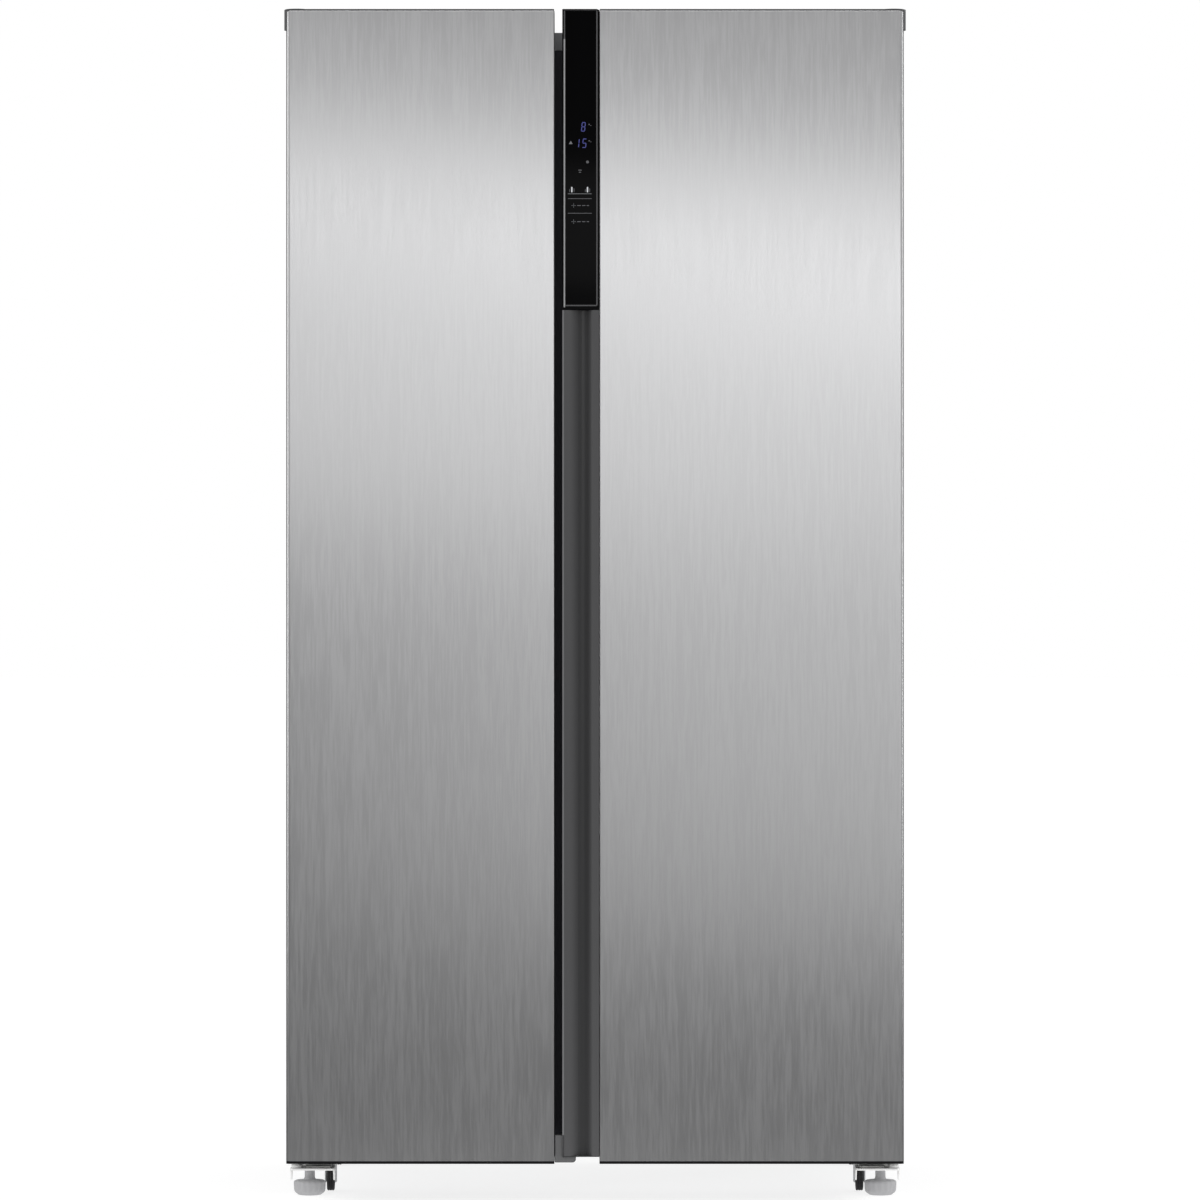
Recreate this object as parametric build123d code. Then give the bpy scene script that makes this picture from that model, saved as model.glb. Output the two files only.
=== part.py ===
"""Side by side refrigerator: freezer on the left, refrigerator on the right.

Millimetres. +Z is up, the doors face -Y, and the origin lies on the floor under the middle of the
footprint. Every function builds one named piece, or one group of alike pieces, and main() writes each to
parts/NAME.step.
"""
import math
import os

from build123d import *

# ---------------------------------------------------------------- doors and overall sizes
cabinet_width = 902.0
door_reveal = 1.5
door_height = 1690.0
door_bottom = 57.0
door_thickness = 60.0
overall_depth = 650.0
gasket_depth = 14.0
freezer_door_edge = -59.5
door_gap = 11.5
handle_width = 54.5
door_edge_radius = 3.0
cap_rim = 1.5
cap_plate = 3.0
cap_skirt = 16.0
cap_wall = 2.0

# ---------------------------------------------------------------- cabinet
cabinet_drop = 28.0
cabinet_lift = 3.0
hinge_washer_gap = 1.0
control_cover_bulge = 10.0
sheet = 0.8
pan_sheet = 1.5
flange_width = 42.0
beam_height = 54.0
beam_return = 40.0
liner_wall = 2.0
liner_lip = 20.0
freezer_wall = 58.0
fridge_wall = 48.0
mullion_width = 71.0
mullion_strip_width = 53.0
floor_insulation = 64.0
top_insulation = 55.0
back_insulation = 60.0
machine_depth = 170.0
machine_height = 195.0
step_slope = 45.0
step_insulation = 50.0
step_roof = 55.0

# ---------------------------------------------------------------- hinges, feet and rollers
hinge_inset = 14.0
hinge_setback = 38.0
hinge_plate = 3.0
hinge_plate_inboard = 50.0
hinge_plate_inset = 5.0
hinge_plate_start = 4.0
hinge_plate_end = 75.0
hinge_nose_extra = 2.0
plate_corner = 6.0
top_screw_row = 25.0
top_screw_row_pitch = 33.0
top_screw_outer_offset = 2.0
top_screw_inner_offset = 36.0
bracket_screw_row = 10.0
bracket_screw_inset = 13.0
bracket_screw_inner_inset = 8.0
hinge_pin_radius = 5.0
running_clearance = 0.1
upper_pin_length = 20.0
lower_pin_length = 22.0
boss_radius = 10.0
pocket_floor_drop = 4.5
pocket_front = 9.0
pocket_reach = 19.5
cover_nose_radius = 18.5
cover_nose_wall = 3.5
cover_wall = 2.0
cover_side_setback = 1.5
cover_front_setback = 1.0
cover_corner = 10.0
cover_top_edge = 1.5
cover_arm_trim = 4.0
cover_overlap = 16.0
cover_arm_half_width = 15.0
hinge_arm_half_width = 8.0
cover_rise = 2.5
cover_length = 100.0
cover_width = 95.0
bracket_plate = 4.0
bracket_side_inset = 3.0
bracket_front_reach = 12.0
bracket_width = 65.0
bracket_length = 110.0
bracket_skirt = 7.5
bracket_ear_drop = 21.0
bracket_ear_start = 8.0
bracket_ear_length = 36.0
bracket_ear_taper = 12.0
bracket_wall = 2.0
foot_inset = 28.0
foot_setback = 14.0
foot_radius = 23.75
foot_height = 22.0
stud_radius = 5.0
stud_length = 10.0
nut_radius = 9.0
nut_height = 8.0
foot_hub_radius = 11.0
foot_edge = 8.0
foot_shoulder = 3.0
stud_hole_depth = 25.0
collar_height = 7.5
collar_radius = 8.0
front_roller_setback = 67.0
front_roller_lift = 1.5
roller_radius = 20.0
roller_width = 11.0
roller_side_gap = 1.0
roller_axle_radius = 3.0
rear_roller_inset = 50.0
rear_roller_setback = 45.0
ear_wall = 2.0
ear_length = 26.0
ear_below_axle = 7.0
screw_radius = 2.5
screw_head_radius = 5.0
screw_head_height = 2.5
screw_length = 12.0

# ---------------------------------------------------------------- door insides
gasket_width = 20.0
seal_gap = 0.3
gasket_hinge_inset = 18.0
gasket_free_inset = 6.0
gasket_low_inset = 26.0
gasket_below_cabinet_top = 13.0
dyke_depth = 32.0
dyke_width = 38.0
dyke_hinge_clearance = 8.0
dyke_free_clearance = 10.0
dyke_end_clearance = 8.0
skin_return = 14.0
bin_wall = 2.5
bin_depth = 74.0
bin_side_clearance = 0.3
bin_radius = 14.0
bin_height = 92.0
freezer_bin_levels = (0.06, 0.29, 0.52, 0.75)
fridge_bin_levels = (0.06, 0.29, 0.52, 0.75)
lug_height = 10.0
lug_reach = 6.0

# ---------------------------------------------------------------- handle strip and display
groove_radius = 30.0
groove_edge = 1.0
ledge_width = 18.0
trim_wall = 2.5
strip_lift = 8.7
end_block_width = 30.0
end_block_height = 40.0
end_block_setback = 6.0
end_block_radius = 5.0
end_block_clearance = 1.5
display_height = 441.0
display_setback = 2.0
display_glass_depth = 3.0
display_housing_depth = 10.0
display_side_clearance = 0.5
display_wall = 2.0
grip_radius = 16.0
grip_offset = 4.0
grip_setback = 35.0
grip_skin_fold = 12.0

# ---------------------------------------------------------------- shelves, drawers and covers
shelf_thickness = 4.0
shelf_side_gap = 3.0
shelf_front_setback = 104.0
rail_width = 10.0
rail_height = 8.0
shelf_trim_depth = 12.0
shelf_trim_height = 12.0
part_gap = 0.3
freezer_shelf_rises = (275.0, 545.0, 815.0)
fridge_shelf_rises = (220.0, 440.0, 660.0, 880.0)
cover_shelf_level = 452.0
duct_depth = 63.0
duct_panel = 2.5
fridge_duct_depth = 30.0
fridge_duct_width = 180.0
fridge_duct_corner = 8.0
fridge_duct_low_gap = 20.0
fridge_duct_high_gap = 30.0
duct_slot_width = 100.0
duct_slot_rise = 120.0
duct_slot_height = 8.0
duct_top_gap = 40.0
fan_slot_pitch = 12.0
fan_slot_height = 6.0
return_slot_inset = 30.0
return_slot_rise = 20.0
return_slot_pitch = 14.0
drawer_wall = 2.5
drawer_front = 4.0
drawer_side_gap = 3.0
drawer_radius = 12.0
lower_drawer_height = 200.0
upper_drawer_height = 200.0
drawer_lip = 8.0
drawer_lip_height = 14.0
drawer_step_gap = 10.0
drawer_back_gap = 12.0
light_length = 150.0
light_depth = 60.0
light_height = 10.0
light_corner = 8.0

# ---------------------------------------------------------------- cooling system
fan_radius = 50.0
fan_hub_radius = 18.0
fan_hub_length = 20.0
fan_blades = 5
fan_blade_root = 3.0
fan_blade_thickness = 2.0
fan_blade_width = 34.0
fan_blade_pitch = 32.0
fan_shaft_radius = 3.0
fan_shaft_length = 22.0
motor_radius = 22.0
motor_length = 26.0
motor_leg = 8.0
evaporator_fan_rise = 690.0
evaporator_height = 300.0
evaporator_rise = 80.0
evaporator_front_gap = 3.0
tube_inset = 15.0
fin_margin = 10.0
evaporator_side_gap = 18.0
fin_pitch = 12.0
fin_thickness = 0.6
tube_radius = 4.0
tube_rows = 6
compressor_radius = 74.0
compressor_height = 150.0
compressor_inset = 196.0
compressor_foot_plate = 3.0
compressor_foot_corner = 12.0
compressor_dome_edge = 35.0
compressor_dome_inset = 6.0
compressor_stub_rise = 60.0
grommet_inset = 18.0
compressor_base = 190.0
compressor_base_depth = 130.0
grommet_radius = 11.0
grommet_height = 14.0
condenser_tube_radius = 2.5
condenser_width = 250.0
condenser_inset = 236.0
condenser_plate_inset = 8.0
condenser_lift = 10.0
condenser_passes = 9
condenser_height = 120.0
condenser_rows = 3
condenser_depth = 90.0
shroud_plate = 2.0
shroud_x = 20.0
shroud_fan_clearance = 3.0
pan_wall = 2.0
drain_pan_height = 28.0
drain_pan_depth = 120.0
drain_pan_gap = 2.0
pipe_drop = 15.0
pipe_bend_radius = 12.0
pipe_hole_clearance = 2.0
pipe_hole_setback = 8.0
pipe_turn = 80.0
pipe_radius = 3.0
duct_hole_reach = 10.0
rear_cover_sheet = 1.5
louvre_rows = 7
louvre_height = 5.0
louvre_pitch = 18.0
louvre_gap = 18.0
louvre_columns = 6
louvre_margin = 14.0
control_cover_width = 300.0
control_cover_height = 190.0
control_recess = 32.0
control_cover_drop = 400.0
control_cover_corner = 12.0
control_cover_border = 16.0
control_recess_inset = 14.0
board_inset = 30.0
board_thickness = 2.0
stand_off = 8.0
stand_off_radius = 3.0
stand_off_inset = 6.0
transformer_size = 40.0
transformer_height = 20.0
capacitor_width = 50.0
capacitor_height = 14.0
gland_radius = 9.0
gland_inset = 40.0
gland_rise = 26.0
gland_flange = 3.0
gland_flange_depth = 4.0
gland_bore_radius = 4.0

# ---------------------------------------------------------------- places worked out from the sizes
doors_width = cabinet_width + 2 * door_reveal
door_top = door_bottom + door_height
door_half = doors_width / 2
front_y = -overall_depth / 2
door_back_y = front_y + door_thickness
cabinet_front_y = door_back_y + gasket_depth
back_y = overall_depth / 2 - control_cover_bulge
cabinet_top = door_top - cabinet_drop
cabinet_bottom = door_bottom + cabinet_lift
cabinet_half = cabinet_width / 2
compressor_x = cabinet_half - compressor_inset
condenser_x = -cabinet_half + condenser_inset
freezer_door_x = (-door_half, freezer_door_edge)
fridge_door_x = (freezer_door_edge + door_gap, door_half)
steel_edge_x = fridge_door_x[0] + handle_width
mullion_x = freezer_door_edge + door_gap / 2
hinge_x = door_half - hinge_inset
hinge_y = front_y + hinge_setback
frame_back_y = cabinet_front_y + sheet
floor_z = cabinet_bottom + floor_insulation
ceiling_z = cabinet_top - top_insulation
liner_back_y = back_y - back_insulation
freezer_x = (-cabinet_half + freezer_wall, mullion_x - mullion_width / 2)
fridge_x = (mullion_x + mullion_width / 2, cabinet_half - fridge_wall)
machine_y = back_y - machine_depth
machine_top = cabinet_bottom + machine_height
step_back_y = machine_y - step_insulation
step_front_y = step_back_y - step_slope
step_z = machine_top + step_roof
deck_z = cabinet_bottom + pan_sheet
shelf_front_y = cabinet_front_y + shelf_front_setback
cover_z = floor_z + cover_shelf_level
pocket_z = cabinet_top - hinge_washer_gap
bracket_top = door_bottom - hinge_washer_gap - collar_height
bracket_x = (cabinet_half - bracket_side_inset - bracket_width, cabinet_half - bracket_side_inset)
foot_x = cabinet_half - foot_inset
foot_y = cabinet_front_y + foot_setback + foot_radius
front_roller_x = foot_x - foot_radius - roller_width / 2
front_roller_y = cabinet_front_y + front_roller_setback + roller_radius
front_roller_z = front_roller_lift + roller_radius
rear_roller_x = cabinet_half - rear_roller_inset
rear_roller_y = back_y - rear_roller_setback
display_z = door_top - display_height
strip_z = door_bottom + strip_lift


# ---------------------------------------------------------------- helpers
def block(x0, x1, y0, y1, z0, z1):
    """Box between two corners."""
    return Pos((x0 + x1) / 2, (y0 + y1) / 2, (z0 + z1) / 2) * Box(x1 - x0, y1 - y0, z1 - z0)


def rod(radius, length, at, direction=(0, 0, 1)):
    """Cylinder that starts at a point and runs along a direction."""
    cylinder = Cylinder(radius, length, align=(Align.CENTER, Align.CENTER, Align.MIN))
    return Plane(origin=at, z_dir=direction) * cylinder


def side_face(points):
    """Closed outline of (y, z) points as a face that looks along X."""
    return make_face(Polyline(*[(0, y, z) for y, z in points], close=True))


def side_prism(face, x0, x1):
    """Side face carried from x0 to x1."""
    return Pos(x0, 0, 0) * extrude(face, x1 - x0, dir=(1, 0, 0))


def soft_corners(shape, axis, radius, pick=None):
    """Rounds the edges that run along an axis, or the picked ones among them."""
    edges = shape.edges().filter_by(axis)
    if pick is not None:
        edges = edges.filter_by(pick)
    return fillet(edges, radius)


def mirror_x(shape):
    """Same shape on the other side of the middle plane."""
    return mirror(shape, about=Plane.YZ)


def both_sides(shape):
    """A shape and its mirror twin, as two solids."""
    return [shape, mirror_x(shape)]


def group(shapes):
    """Separate solids kept in one node."""
    return Compound(children=[solid for shape in shapes for solid in shape.solids()])


# ---------------------------------------------------------------- screws
top_screw_places = [
    (hinge_x - top_screw_outer_offset, cabinet_front_y + top_screw_row),
    (hinge_x - top_screw_inner_offset, cabinet_front_y + top_screw_row),
    (hinge_x - (top_screw_outer_offset + top_screw_inner_offset) / 2,
     cabinet_front_y + top_screw_row + top_screw_row_pitch)]
bracket_screw_places = [
    (bracket_x[0] + bracket_screw_inner_inset, cabinet_front_y + bracket_screw_row),
    (bracket_x[1] - bracket_screw_inset, cabinet_front_y + bracket_screw_row)]


def top_screw_shanks():
    """Shanks of the screws that hold the upper hinges, one set per side."""
    shanks = []
    for x, y in top_screw_places:
        shanks += both_sides(rod(screw_radius, screw_length, (x, y, cabinet_top + hinge_plate - screw_length)))
    return shanks


def bracket_screw_shanks():
    """Shanks of the screws that hold the lower brackets, one set per side."""
    shanks = []
    for x, y in bracket_screw_places:
        shanks += both_sides(rod(screw_radius, screw_length, (x, y, cabinet_bottom - bracket_plate)))
    return shanks


def hinge_screws():
    """Pan head screws of the upper hinges and the lower brackets."""
    screws = []
    for x, y in top_screw_places:
        head = rod(screw_head_radius, screw_head_height, (x, y, cabinet_top + hinge_plate))
        shank = rod(screw_radius, screw_length, (x, y, cabinet_top + hinge_plate - screw_length))
        screws += both_sides(head + shank)
    for x, y in bracket_screw_places:
        under = cabinet_bottom - bracket_plate
        head = rod(screw_head_radius, screw_head_height, (x, y, under - screw_head_height))
        screws += both_sides(head + rod(screw_radius, screw_length, (x, y, under)))
    return group(screws)


# ---------------------------------------------------------------- cabinet
def cabinet_shell():
    """Painted wrapper: one sheet folded over both sides and the top."""
    outside = block(-cabinet_half, cabinet_half, cabinet_front_y, back_y, cabinet_bottom, cabinet_top)
    outside = soft_corners(outside, Axis.Y, door_edge_radius, lambda edge: edge.center().Z > floor_z)
    inside = block(-cabinet_half + sheet, cabinet_half - sheet, cabinet_front_y, back_y,
                   cabinet_bottom, cabinet_top - sheet)
    inside = soft_corners(inside, Axis.Y, door_edge_radius - sheet, lambda edge: edge.center().Z > floor_z)
    return outside - inside - top_screw_shanks()


def front_frame():
    """Steel face around both openings, with the deep bottom beam and its return."""
    half = cabinet_half - sheet
    top = cabinet_top - sheet
    frame = block(-half, half, cabinet_front_y, frame_back_y, cabinet_bottom, top)
    frame = soft_corners(frame, Axis.Y, door_edge_radius - sheet, lambda edge: edge.center().Z > floor_z)
    frame -= block(-cabinet_half + flange_width, cabinet_half - flange_width, cabinet_front_y, frame_back_y,
                   cabinet_bottom + beam_height, cabinet_top - flange_width)
    frame += block(-half, half, frame_back_y, cabinet_front_y + beam_return, cabinet_bottom, deck_z)
    return frame - bracket_screw_shanks()


def mullion_strip():
    """Flat strip over the edge of the wall between the two compartments."""
    return block(mullion_x - mullion_strip_width / 2, mullion_x + mullion_strip_width / 2,
                 cabinet_front_y, frame_back_y, cabinet_bottom + beam_height, cabinet_top - flange_width)


def back_panel():
    """Back sheet above the machine space, with a shallow recess behind the control cover."""
    panel = block(-cabinet_half + sheet, cabinet_half - sheet, back_y - sheet, back_y,
                  machine_top, cabinet_top - sheet)
    panel = soft_corners(panel, Axis.Y, door_edge_radius - sheet, lambda edge: edge.center().Z > floor_z)
    tray = (control_recess_box(1) - control_recess_box(0)) & block(
        -cabinet_half, cabinet_half, cabinet_front_y, back_y, cabinet_bottom, cabinet_top)
    return panel - control_recess_box(0) + tray


def control_recess_box(grow):
    """Space sunk in the back for the control board."""
    half = control_cover_width / 2 - control_recess_inset + grow
    low = control_z() + control_recess_inset - grow
    high = control_z() + control_cover_height - control_recess_inset + grow
    return block(-half, half, back_y - control_recess - grow, back_y + 1, low, high)


def control_z():
    """Lower edge of the control cover."""
    return cabinet_top - control_cover_drop


def base_pan():
    """Bent deck: floor of the machine space, its front wall and its roof."""
    half = cabinet_half - sheet
    face = side_face([(cabinet_front_y + beam_return, cabinet_bottom), (back_y, cabinet_bottom),
                      (back_y, deck_z), (machine_y + pan_sheet, deck_z),
                      (machine_y + pan_sheet, machine_top - pan_sheet), (back_y, machine_top - pan_sheet),
                      (back_y, machine_top), (machine_y, machine_top), (machine_y, deck_z),
                      (cabinet_front_y + beam_return, deck_z)])
    return side_prism(face, -half, half)


def liner_face():
    """Side outline of a compartment, stepped over the machine space."""
    return side_face([(frame_back_y, floor_z), (step_front_y, floor_z), (step_back_y, step_z),
                      (liner_back_y, step_z), (liner_back_y, ceiling_z), (frame_back_y, ceiling_z)])


def liner_outside(x_range):
    """Solid outside of a liner, walls included."""
    grown = offset(liner_face(), liner_wall, kind=Kind.INTERSECTION)
    solid = side_prism(grown, x_range[0] - liner_wall, x_range[1] + liner_wall)
    return solid & block(-cabinet_half, cabinet_half, frame_back_y, back_y, cabinet_bottom, cabinet_top)


def liner(x_range):
    """Moulded inner box with a lip behind the front frame."""
    shell = liner_outside(x_range)
    shell += block(x_range[0] - liner_lip, x_range[1] + liner_lip, frame_back_y, frame_back_y + liner_wall,
                   floor_z - liner_lip, ceiling_z + liner_lip)
    return shell - side_prism(liner_face(), x_range[0], x_range[1])


def rails(x_range, levels, rear_y):
    """Pairs of runners on the side walls, one pair for each level and its rear end."""
    strips = []
    for z, end_y in zip(levels, rear_y):
        for x0 in (x_range[0], x_range[1] - rail_width):
            strips.append(block(x0, x0 + rail_width, shelf_front_y - 60, end_y, z - rail_height, z))
    return strips


def drawer_rail_levels():
    """Heights of the runner tops for the lower and the upper drawer."""
    lower = floor_z + rail_height + lower_drawer_height - drawer_lip_height
    upper = lower + drawer_lip_height + drawer_step_gap + upper_drawer_height - drawer_lip_height
    return lower, upper


def freezer_shelf_levels():
    """Undersides of the freezer shelves."""
    return [cover_z] + [cover_z + rise for rise in freezer_shelf_rises]


def fridge_shelf_levels():
    """Undersides of the refrigerator shelves."""
    return [cover_z] + [cover_z + rise for rise in fridge_shelf_rises]


def compartment_rails(x_range, shelf_levels, rear_y):
    """All runners of a compartment."""
    lower, upper = drawer_rail_levels()
    levels = [lower, upper] + list(shelf_levels)
    ends = [step_front_y, rear_y] + [rear_y] * len(shelf_levels)
    return rails(x_range, levels, ends)


def freezer_rear_y():
    """Front face of the freezer's rear duct."""
    return liner_back_y - duct_depth


def freezer_liner():
    """White inner box of the freezer, with its runners and the pipe hole to the machine space."""
    body = liner(freezer_x) + compartment_rails(freezer_x, freezer_shelf_levels(), freezer_rear_y() - part_gap)
    return body - duct_pipes_space(1)


def fridge_liner():
    """White inner box of the refrigerator, with its runners."""
    return liner(fridge_x) + compartment_rails(fridge_x, fridge_shelf_levels(),
                                               liner_back_y - fridge_duct_depth - part_gap)


def cabinet_foam(x_range, x0, x1):
    """Foamed insulation around one compartment, from x0 to x1."""
    top = cabinet_top - sheet
    face = side_face([(frame_back_y, deck_z), (machine_y, deck_z), (machine_y, machine_top),
                      (back_y - sheet, machine_top), (back_y - sheet, top), (frame_back_y, top)])
    foam = side_prism(face, x0, x1)
    foam = soft_corners(foam, Axis.Y, door_edge_radius - sheet,
                        lambda edge: edge.center().Z > ceiling_z and abs(edge.center().X) > fridge_x[1])
    foam -= liner_outside(x_range)
    foam -= block(x_range[0] - liner_lip, x_range[1] + liner_lip, frame_back_y, frame_back_y + liner_wall,
                  floor_z - liner_lip, ceiling_z + liner_lip)
    foam -= block(x0, x1, frame_back_y, cabinet_front_y + beam_return, cabinet_bottom, deck_z)
    foam -= control_recess_box(1)
    foam -= top_screw_shanks() + bracket_screw_shanks()
    return foam - duct_pipes_space(1)


# ---------------------------------------------------------------- hinges and covers
def upper_hinge():
    """Right hand upper hinge: plate on the cabinet top with an arm to the pin."""
    plate = block(hinge_x - hinge_plate_inboard, cabinet_half - hinge_plate_inset,
                  cabinet_front_y + hinge_plate_start, cabinet_front_y + hinge_plate_end,
                  cabinet_top, cabinet_top + hinge_plate)
    plate = soft_corners(plate, Axis.Z, plate_corner)
    arm = block(hinge_x - hinge_arm_half_width, hinge_x + hinge_arm_half_width, hinge_y,
                cabinet_front_y + hinge_plate_start + hinge_arm_half_width, cabinet_top, cabinet_top + hinge_plate)
    nose = rod(hinge_arm_half_width + hinge_nose_extra, hinge_plate, (hinge_x, hinge_y, cabinet_top))
    pin = rod(hinge_pin_radius, upper_pin_length, (hinge_x, hinge_y, cabinet_top - upper_pin_length))
    hinge = plate + arm + nose + pin
    return hinge - top_screw_shanks()


def top_hinges():
    """Both upper hinges."""
    return group(both_sides(upper_hinge()))


def cover_outline(inset):
    """Hinge cover seen from above: a body over the plate and a round nose over the pin."""
    body = block(cabinet_half - cover_width + inset, cabinet_half - inset - cover_side_setback,
                 cabinet_front_y + cover_front_setback + inset, cabinet_front_y + cover_length - inset,
                 cabinet_top, door_top + cover_rise - inset)
    body = soft_corners(body, Axis.Z, cover_corner - inset)
    arm = block(hinge_x - cover_arm_half_width + inset, hinge_x + cover_arm_half_width - cover_arm_trim - inset,
                hinge_y, cabinet_front_y + cover_overlap, cabinet_top, door_top + cover_rise - inset)
    nose_radius = cover_nose_radius - (cover_nose_wall if inset else 0)
    nose = rod(nose_radius, door_top + cover_rise - inset - cabinet_top, (hinge_x, hinge_y, cabinet_top))
    return body + arm + nose


def hinge_cover():
    """Right hand moulded cover over the upper hinge."""
    outside = cover_outline(0)
    top_edges = outside.faces().sort_by(Axis.Z)[-1].edges()
    outside = fillet(top_edges, cover_top_edge)
    return outside - cover_outline(cover_wall)


def hinge_covers():
    """Both hinge covers."""
    return group(both_sides(hinge_cover()))


def bottom_bracket():
    """Right hand lower bracket: joggled plate, skirt, side ears, nut for the foot, collar and pin."""
    x0, x1 = bracket_x
    y0 = hinge_y - bracket_front_reach
    step_y = cabinet_front_y
    low = block(x0, x1, y0, step_y + bracket_plate, bracket_top - bracket_plate, bracket_top)
    low = soft_corners(low, Axis.Z, plate_corner, lambda edge: edge.center().Y < hinge_y)
    riser = block(x0, x1, step_y, step_y + bracket_plate, bracket_top - bracket_plate, cabinet_bottom)
    high = block(x0, x1, step_y, y0 + bracket_length, cabinet_bottom - bracket_plate, cabinet_bottom)
    skirt = block(x0, x1, y0, step_y + bracket_plate, bracket_top - bracket_skirt, bracket_top)
    skirt = soft_corners(skirt, Axis.Z, plate_corner, lambda edge: edge.center().Y < hinge_y)
    hollow = block(x0 + bracket_wall, x1 - bracket_wall, y0 + bracket_wall, step_y + bracket_plate + 1,
                   bracket_top - bracket_skirt, bracket_top)
    hollow = soft_corners(hollow, Axis.Z, plate_corner - bracket_wall, lambda edge: edge.center().Y < hinge_y)
    ear_y0, ear_y1 = y0 + bracket_ear_start, y0 + bracket_ear_start + bracket_ear_length
    ear = side_face([(ear_y0, bracket_top), (ear_y0, bracket_top - bracket_skirt),
                     (ear_y0 + bracket_ear_taper, bracket_top - bracket_ear_drop),
                     (ear_y1 - bracket_ear_taper, bracket_top - bracket_ear_drop),
                     (ear_y1, bracket_top - bracket_skirt), (ear_y1, bracket_top)])
    skirt += side_prism(ear, x0, x0 + bracket_wall) + side_prism(ear, x1 - bracket_wall, x1)
    nut = rod(nut_radius, nut_height, (foot_x, foot_y, cabinet_bottom - bracket_plate - nut_height))
    collar = rod(collar_radius, collar_height, (hinge_x, hinge_y, bracket_top))
    pin = rod(hinge_pin_radius, lower_pin_length, (hinge_x, hinge_y, bracket_top + collar_height))
    bracket = low + riser + high + (skirt - hollow) + nut + collar + pin
    bracket -= rod(stud_radius + running_clearance, stud_hole_depth, (foot_x, foot_y, cabinet_bottom - stud_hole_depth))
    return bracket - bracket_screw_shanks()


def bottom_hinges():
    """Both lower hinge brackets."""
    return group(both_sides(bottom_bracket()))


# ---------------------------------------------------------------- feet and rollers
def levelling_foot(side):
    """Grey moulded foot with a hub and its stud; it turns about the stud."""
    hub_top = cabinet_bottom - bracket_plate - nut_height
    disc = rod(foot_radius, foot_height, (side * foot_x, foot_y, 0))
    rims = disc.edges().filter_by(GeomType.CIRCLE).sort_by(Axis.Z)
    disc = chamfer(rims[0], foot_edge)
    disc = fillet(disc.edges().filter_by(GeomType.CIRCLE).sort_by(Axis.Z)[-1], foot_shoulder)
    hub = rod(foot_hub_radius, hub_top - foot_height + 1, (side * foot_x, foot_y, foot_height - 1))
    stud = rod(stud_radius, stud_length, (side * foot_x, foot_y, hub_top))
    return disc + hub + stud


def roller(x, y, z):
    """Grooveless plastic roller on a cross axle."""
    start = (x - roller_width / 2, y, z)
    wheel = rod(roller_radius, roller_width, start, (1, 0, 0))
    wheel = fillet(wheel.edges().filter_by(GeomType.CIRCLE), 2)
    return wheel - rod(roller_axle_radius + running_clearance, roller_width, start, (1, 0, 0))


def roller_ears(x, y, z):
    """Pair of ears with the axle riveted between them."""
    half = roller_width / 2 + roller_side_gap
    pieces = rod(roller_axle_radius, 2 * (half + ear_wall), (x - half - ear_wall, y, z), (1, 0, 0))
    for x0 in (x - half - ear_wall, x + half):
        pieces += block(x0, x0 + ear_wall, y - ear_length / 2, y + ear_length / 2, z - ear_below_axle, cabinet_bottom)
    top = block(x - half - ear_wall, x + half + ear_wall, y - ear_length / 2, y + ear_length / 2,
                cabinet_bottom - ear_wall, cabinet_bottom)
    return pieces + top


def roller_brackets():
    """Ears and axles of all four rollers."""
    sets = []
    for side in (-1, 1):
        sets.append(roller_ears(side * front_roller_x, front_roller_y, front_roller_z))
        sets.append(roller_ears(side * rear_roller_x, rear_roller_y, roller_radius))
    return group(sets)


# ---------------------------------------------------------------- doors
def door_box(x_range, inset, z0, z1):
    """Door body shrunk by an inset, with rounded front edges."""
    body = block(x_range[0] + inset, x_range[1] - inset, front_y + inset, door_back_y - inset, z0, z1)
    return soft_corners(body, Axis.Z, door_edge_radius - inset, lambda edge: edge.center().Y < hinge_y)


def hinge_side(x_range):
    """-1 for a door that is hinged at the left, 1 at the right."""
    return -1 if x_range[0] < -door_half + 1 else 1


def pocket(x_range, wall, floor):
    """Notch at the top hinge corner; a wall and floor make it the moulded box around the notch."""
    side = hinge_side(x_range)
    inner = side * (hinge_x - pocket_reach - wall)
    outer = side * (door_half - (sheet if wall else -1))
    y0 = front_y + pocket_front - wall
    y1 = door_back_y - (sheet if wall else -1)
    top = door_top - cap_rim if wall else door_top + 1
    return block(min(inner, outer), max(inner, outer), y0, y1, pocket_z - floor, top)


def door_boss(x_range, z0, z1, radius):
    """Cylinder about the hinge axis."""
    return rod(radius, z1 - z0, (hinge_side(x_range) * hinge_x, hinge_y, z0))


def pocket_notch(x_range):
    """Pocket and its moulded walls, through to the back of the door."""
    side = hinge_side(x_range)
    inner, outer = sorted((side * (hinge_x - pocket_reach - cap_wall), side * (door_half + 1)))
    return block(inner, outer, front_y + pocket_front - cap_wall, door_back_y + 1, pocket_z - pocket_floor_drop,
                 door_top)


def door_skin(x_range):
    """Steel front folded back over the sides, with short returns on the back."""
    z0 = door_bottom + cap_rim
    z1 = door_top - cap_rim
    skin = door_box(x_range, 0, z0, z1) - door_box(x_range, sheet, z0, z1)
    skin -= block(x_range[0] + skin_return, x_range[1] - skin_return, door_back_y - sheet, door_back_y, z0, z1)
    return skin - pocket(x_range, 0, 0)


def freezer_door_skin():
    """Steel front of the freezer door; its free edge stops short at the grip moulding."""
    x1 = freezer_door_x[1]
    free = block(x1 - skin_return, x1, front_y + grip_skin_fold, door_back_y, door_bottom, door_top)
    return door_skin(freezer_door_x) - free


def fridge_door_skin():
    """Steel front of the refrigerator door; it folds in beside the handle strip."""
    return door_skin((steel_edge_x, fridge_door_x[1])) - block(
        steel_edge_x, steel_edge_x + skin_return, front_y + grip_skin_fold, door_back_y, door_bottom, door_top)


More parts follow.
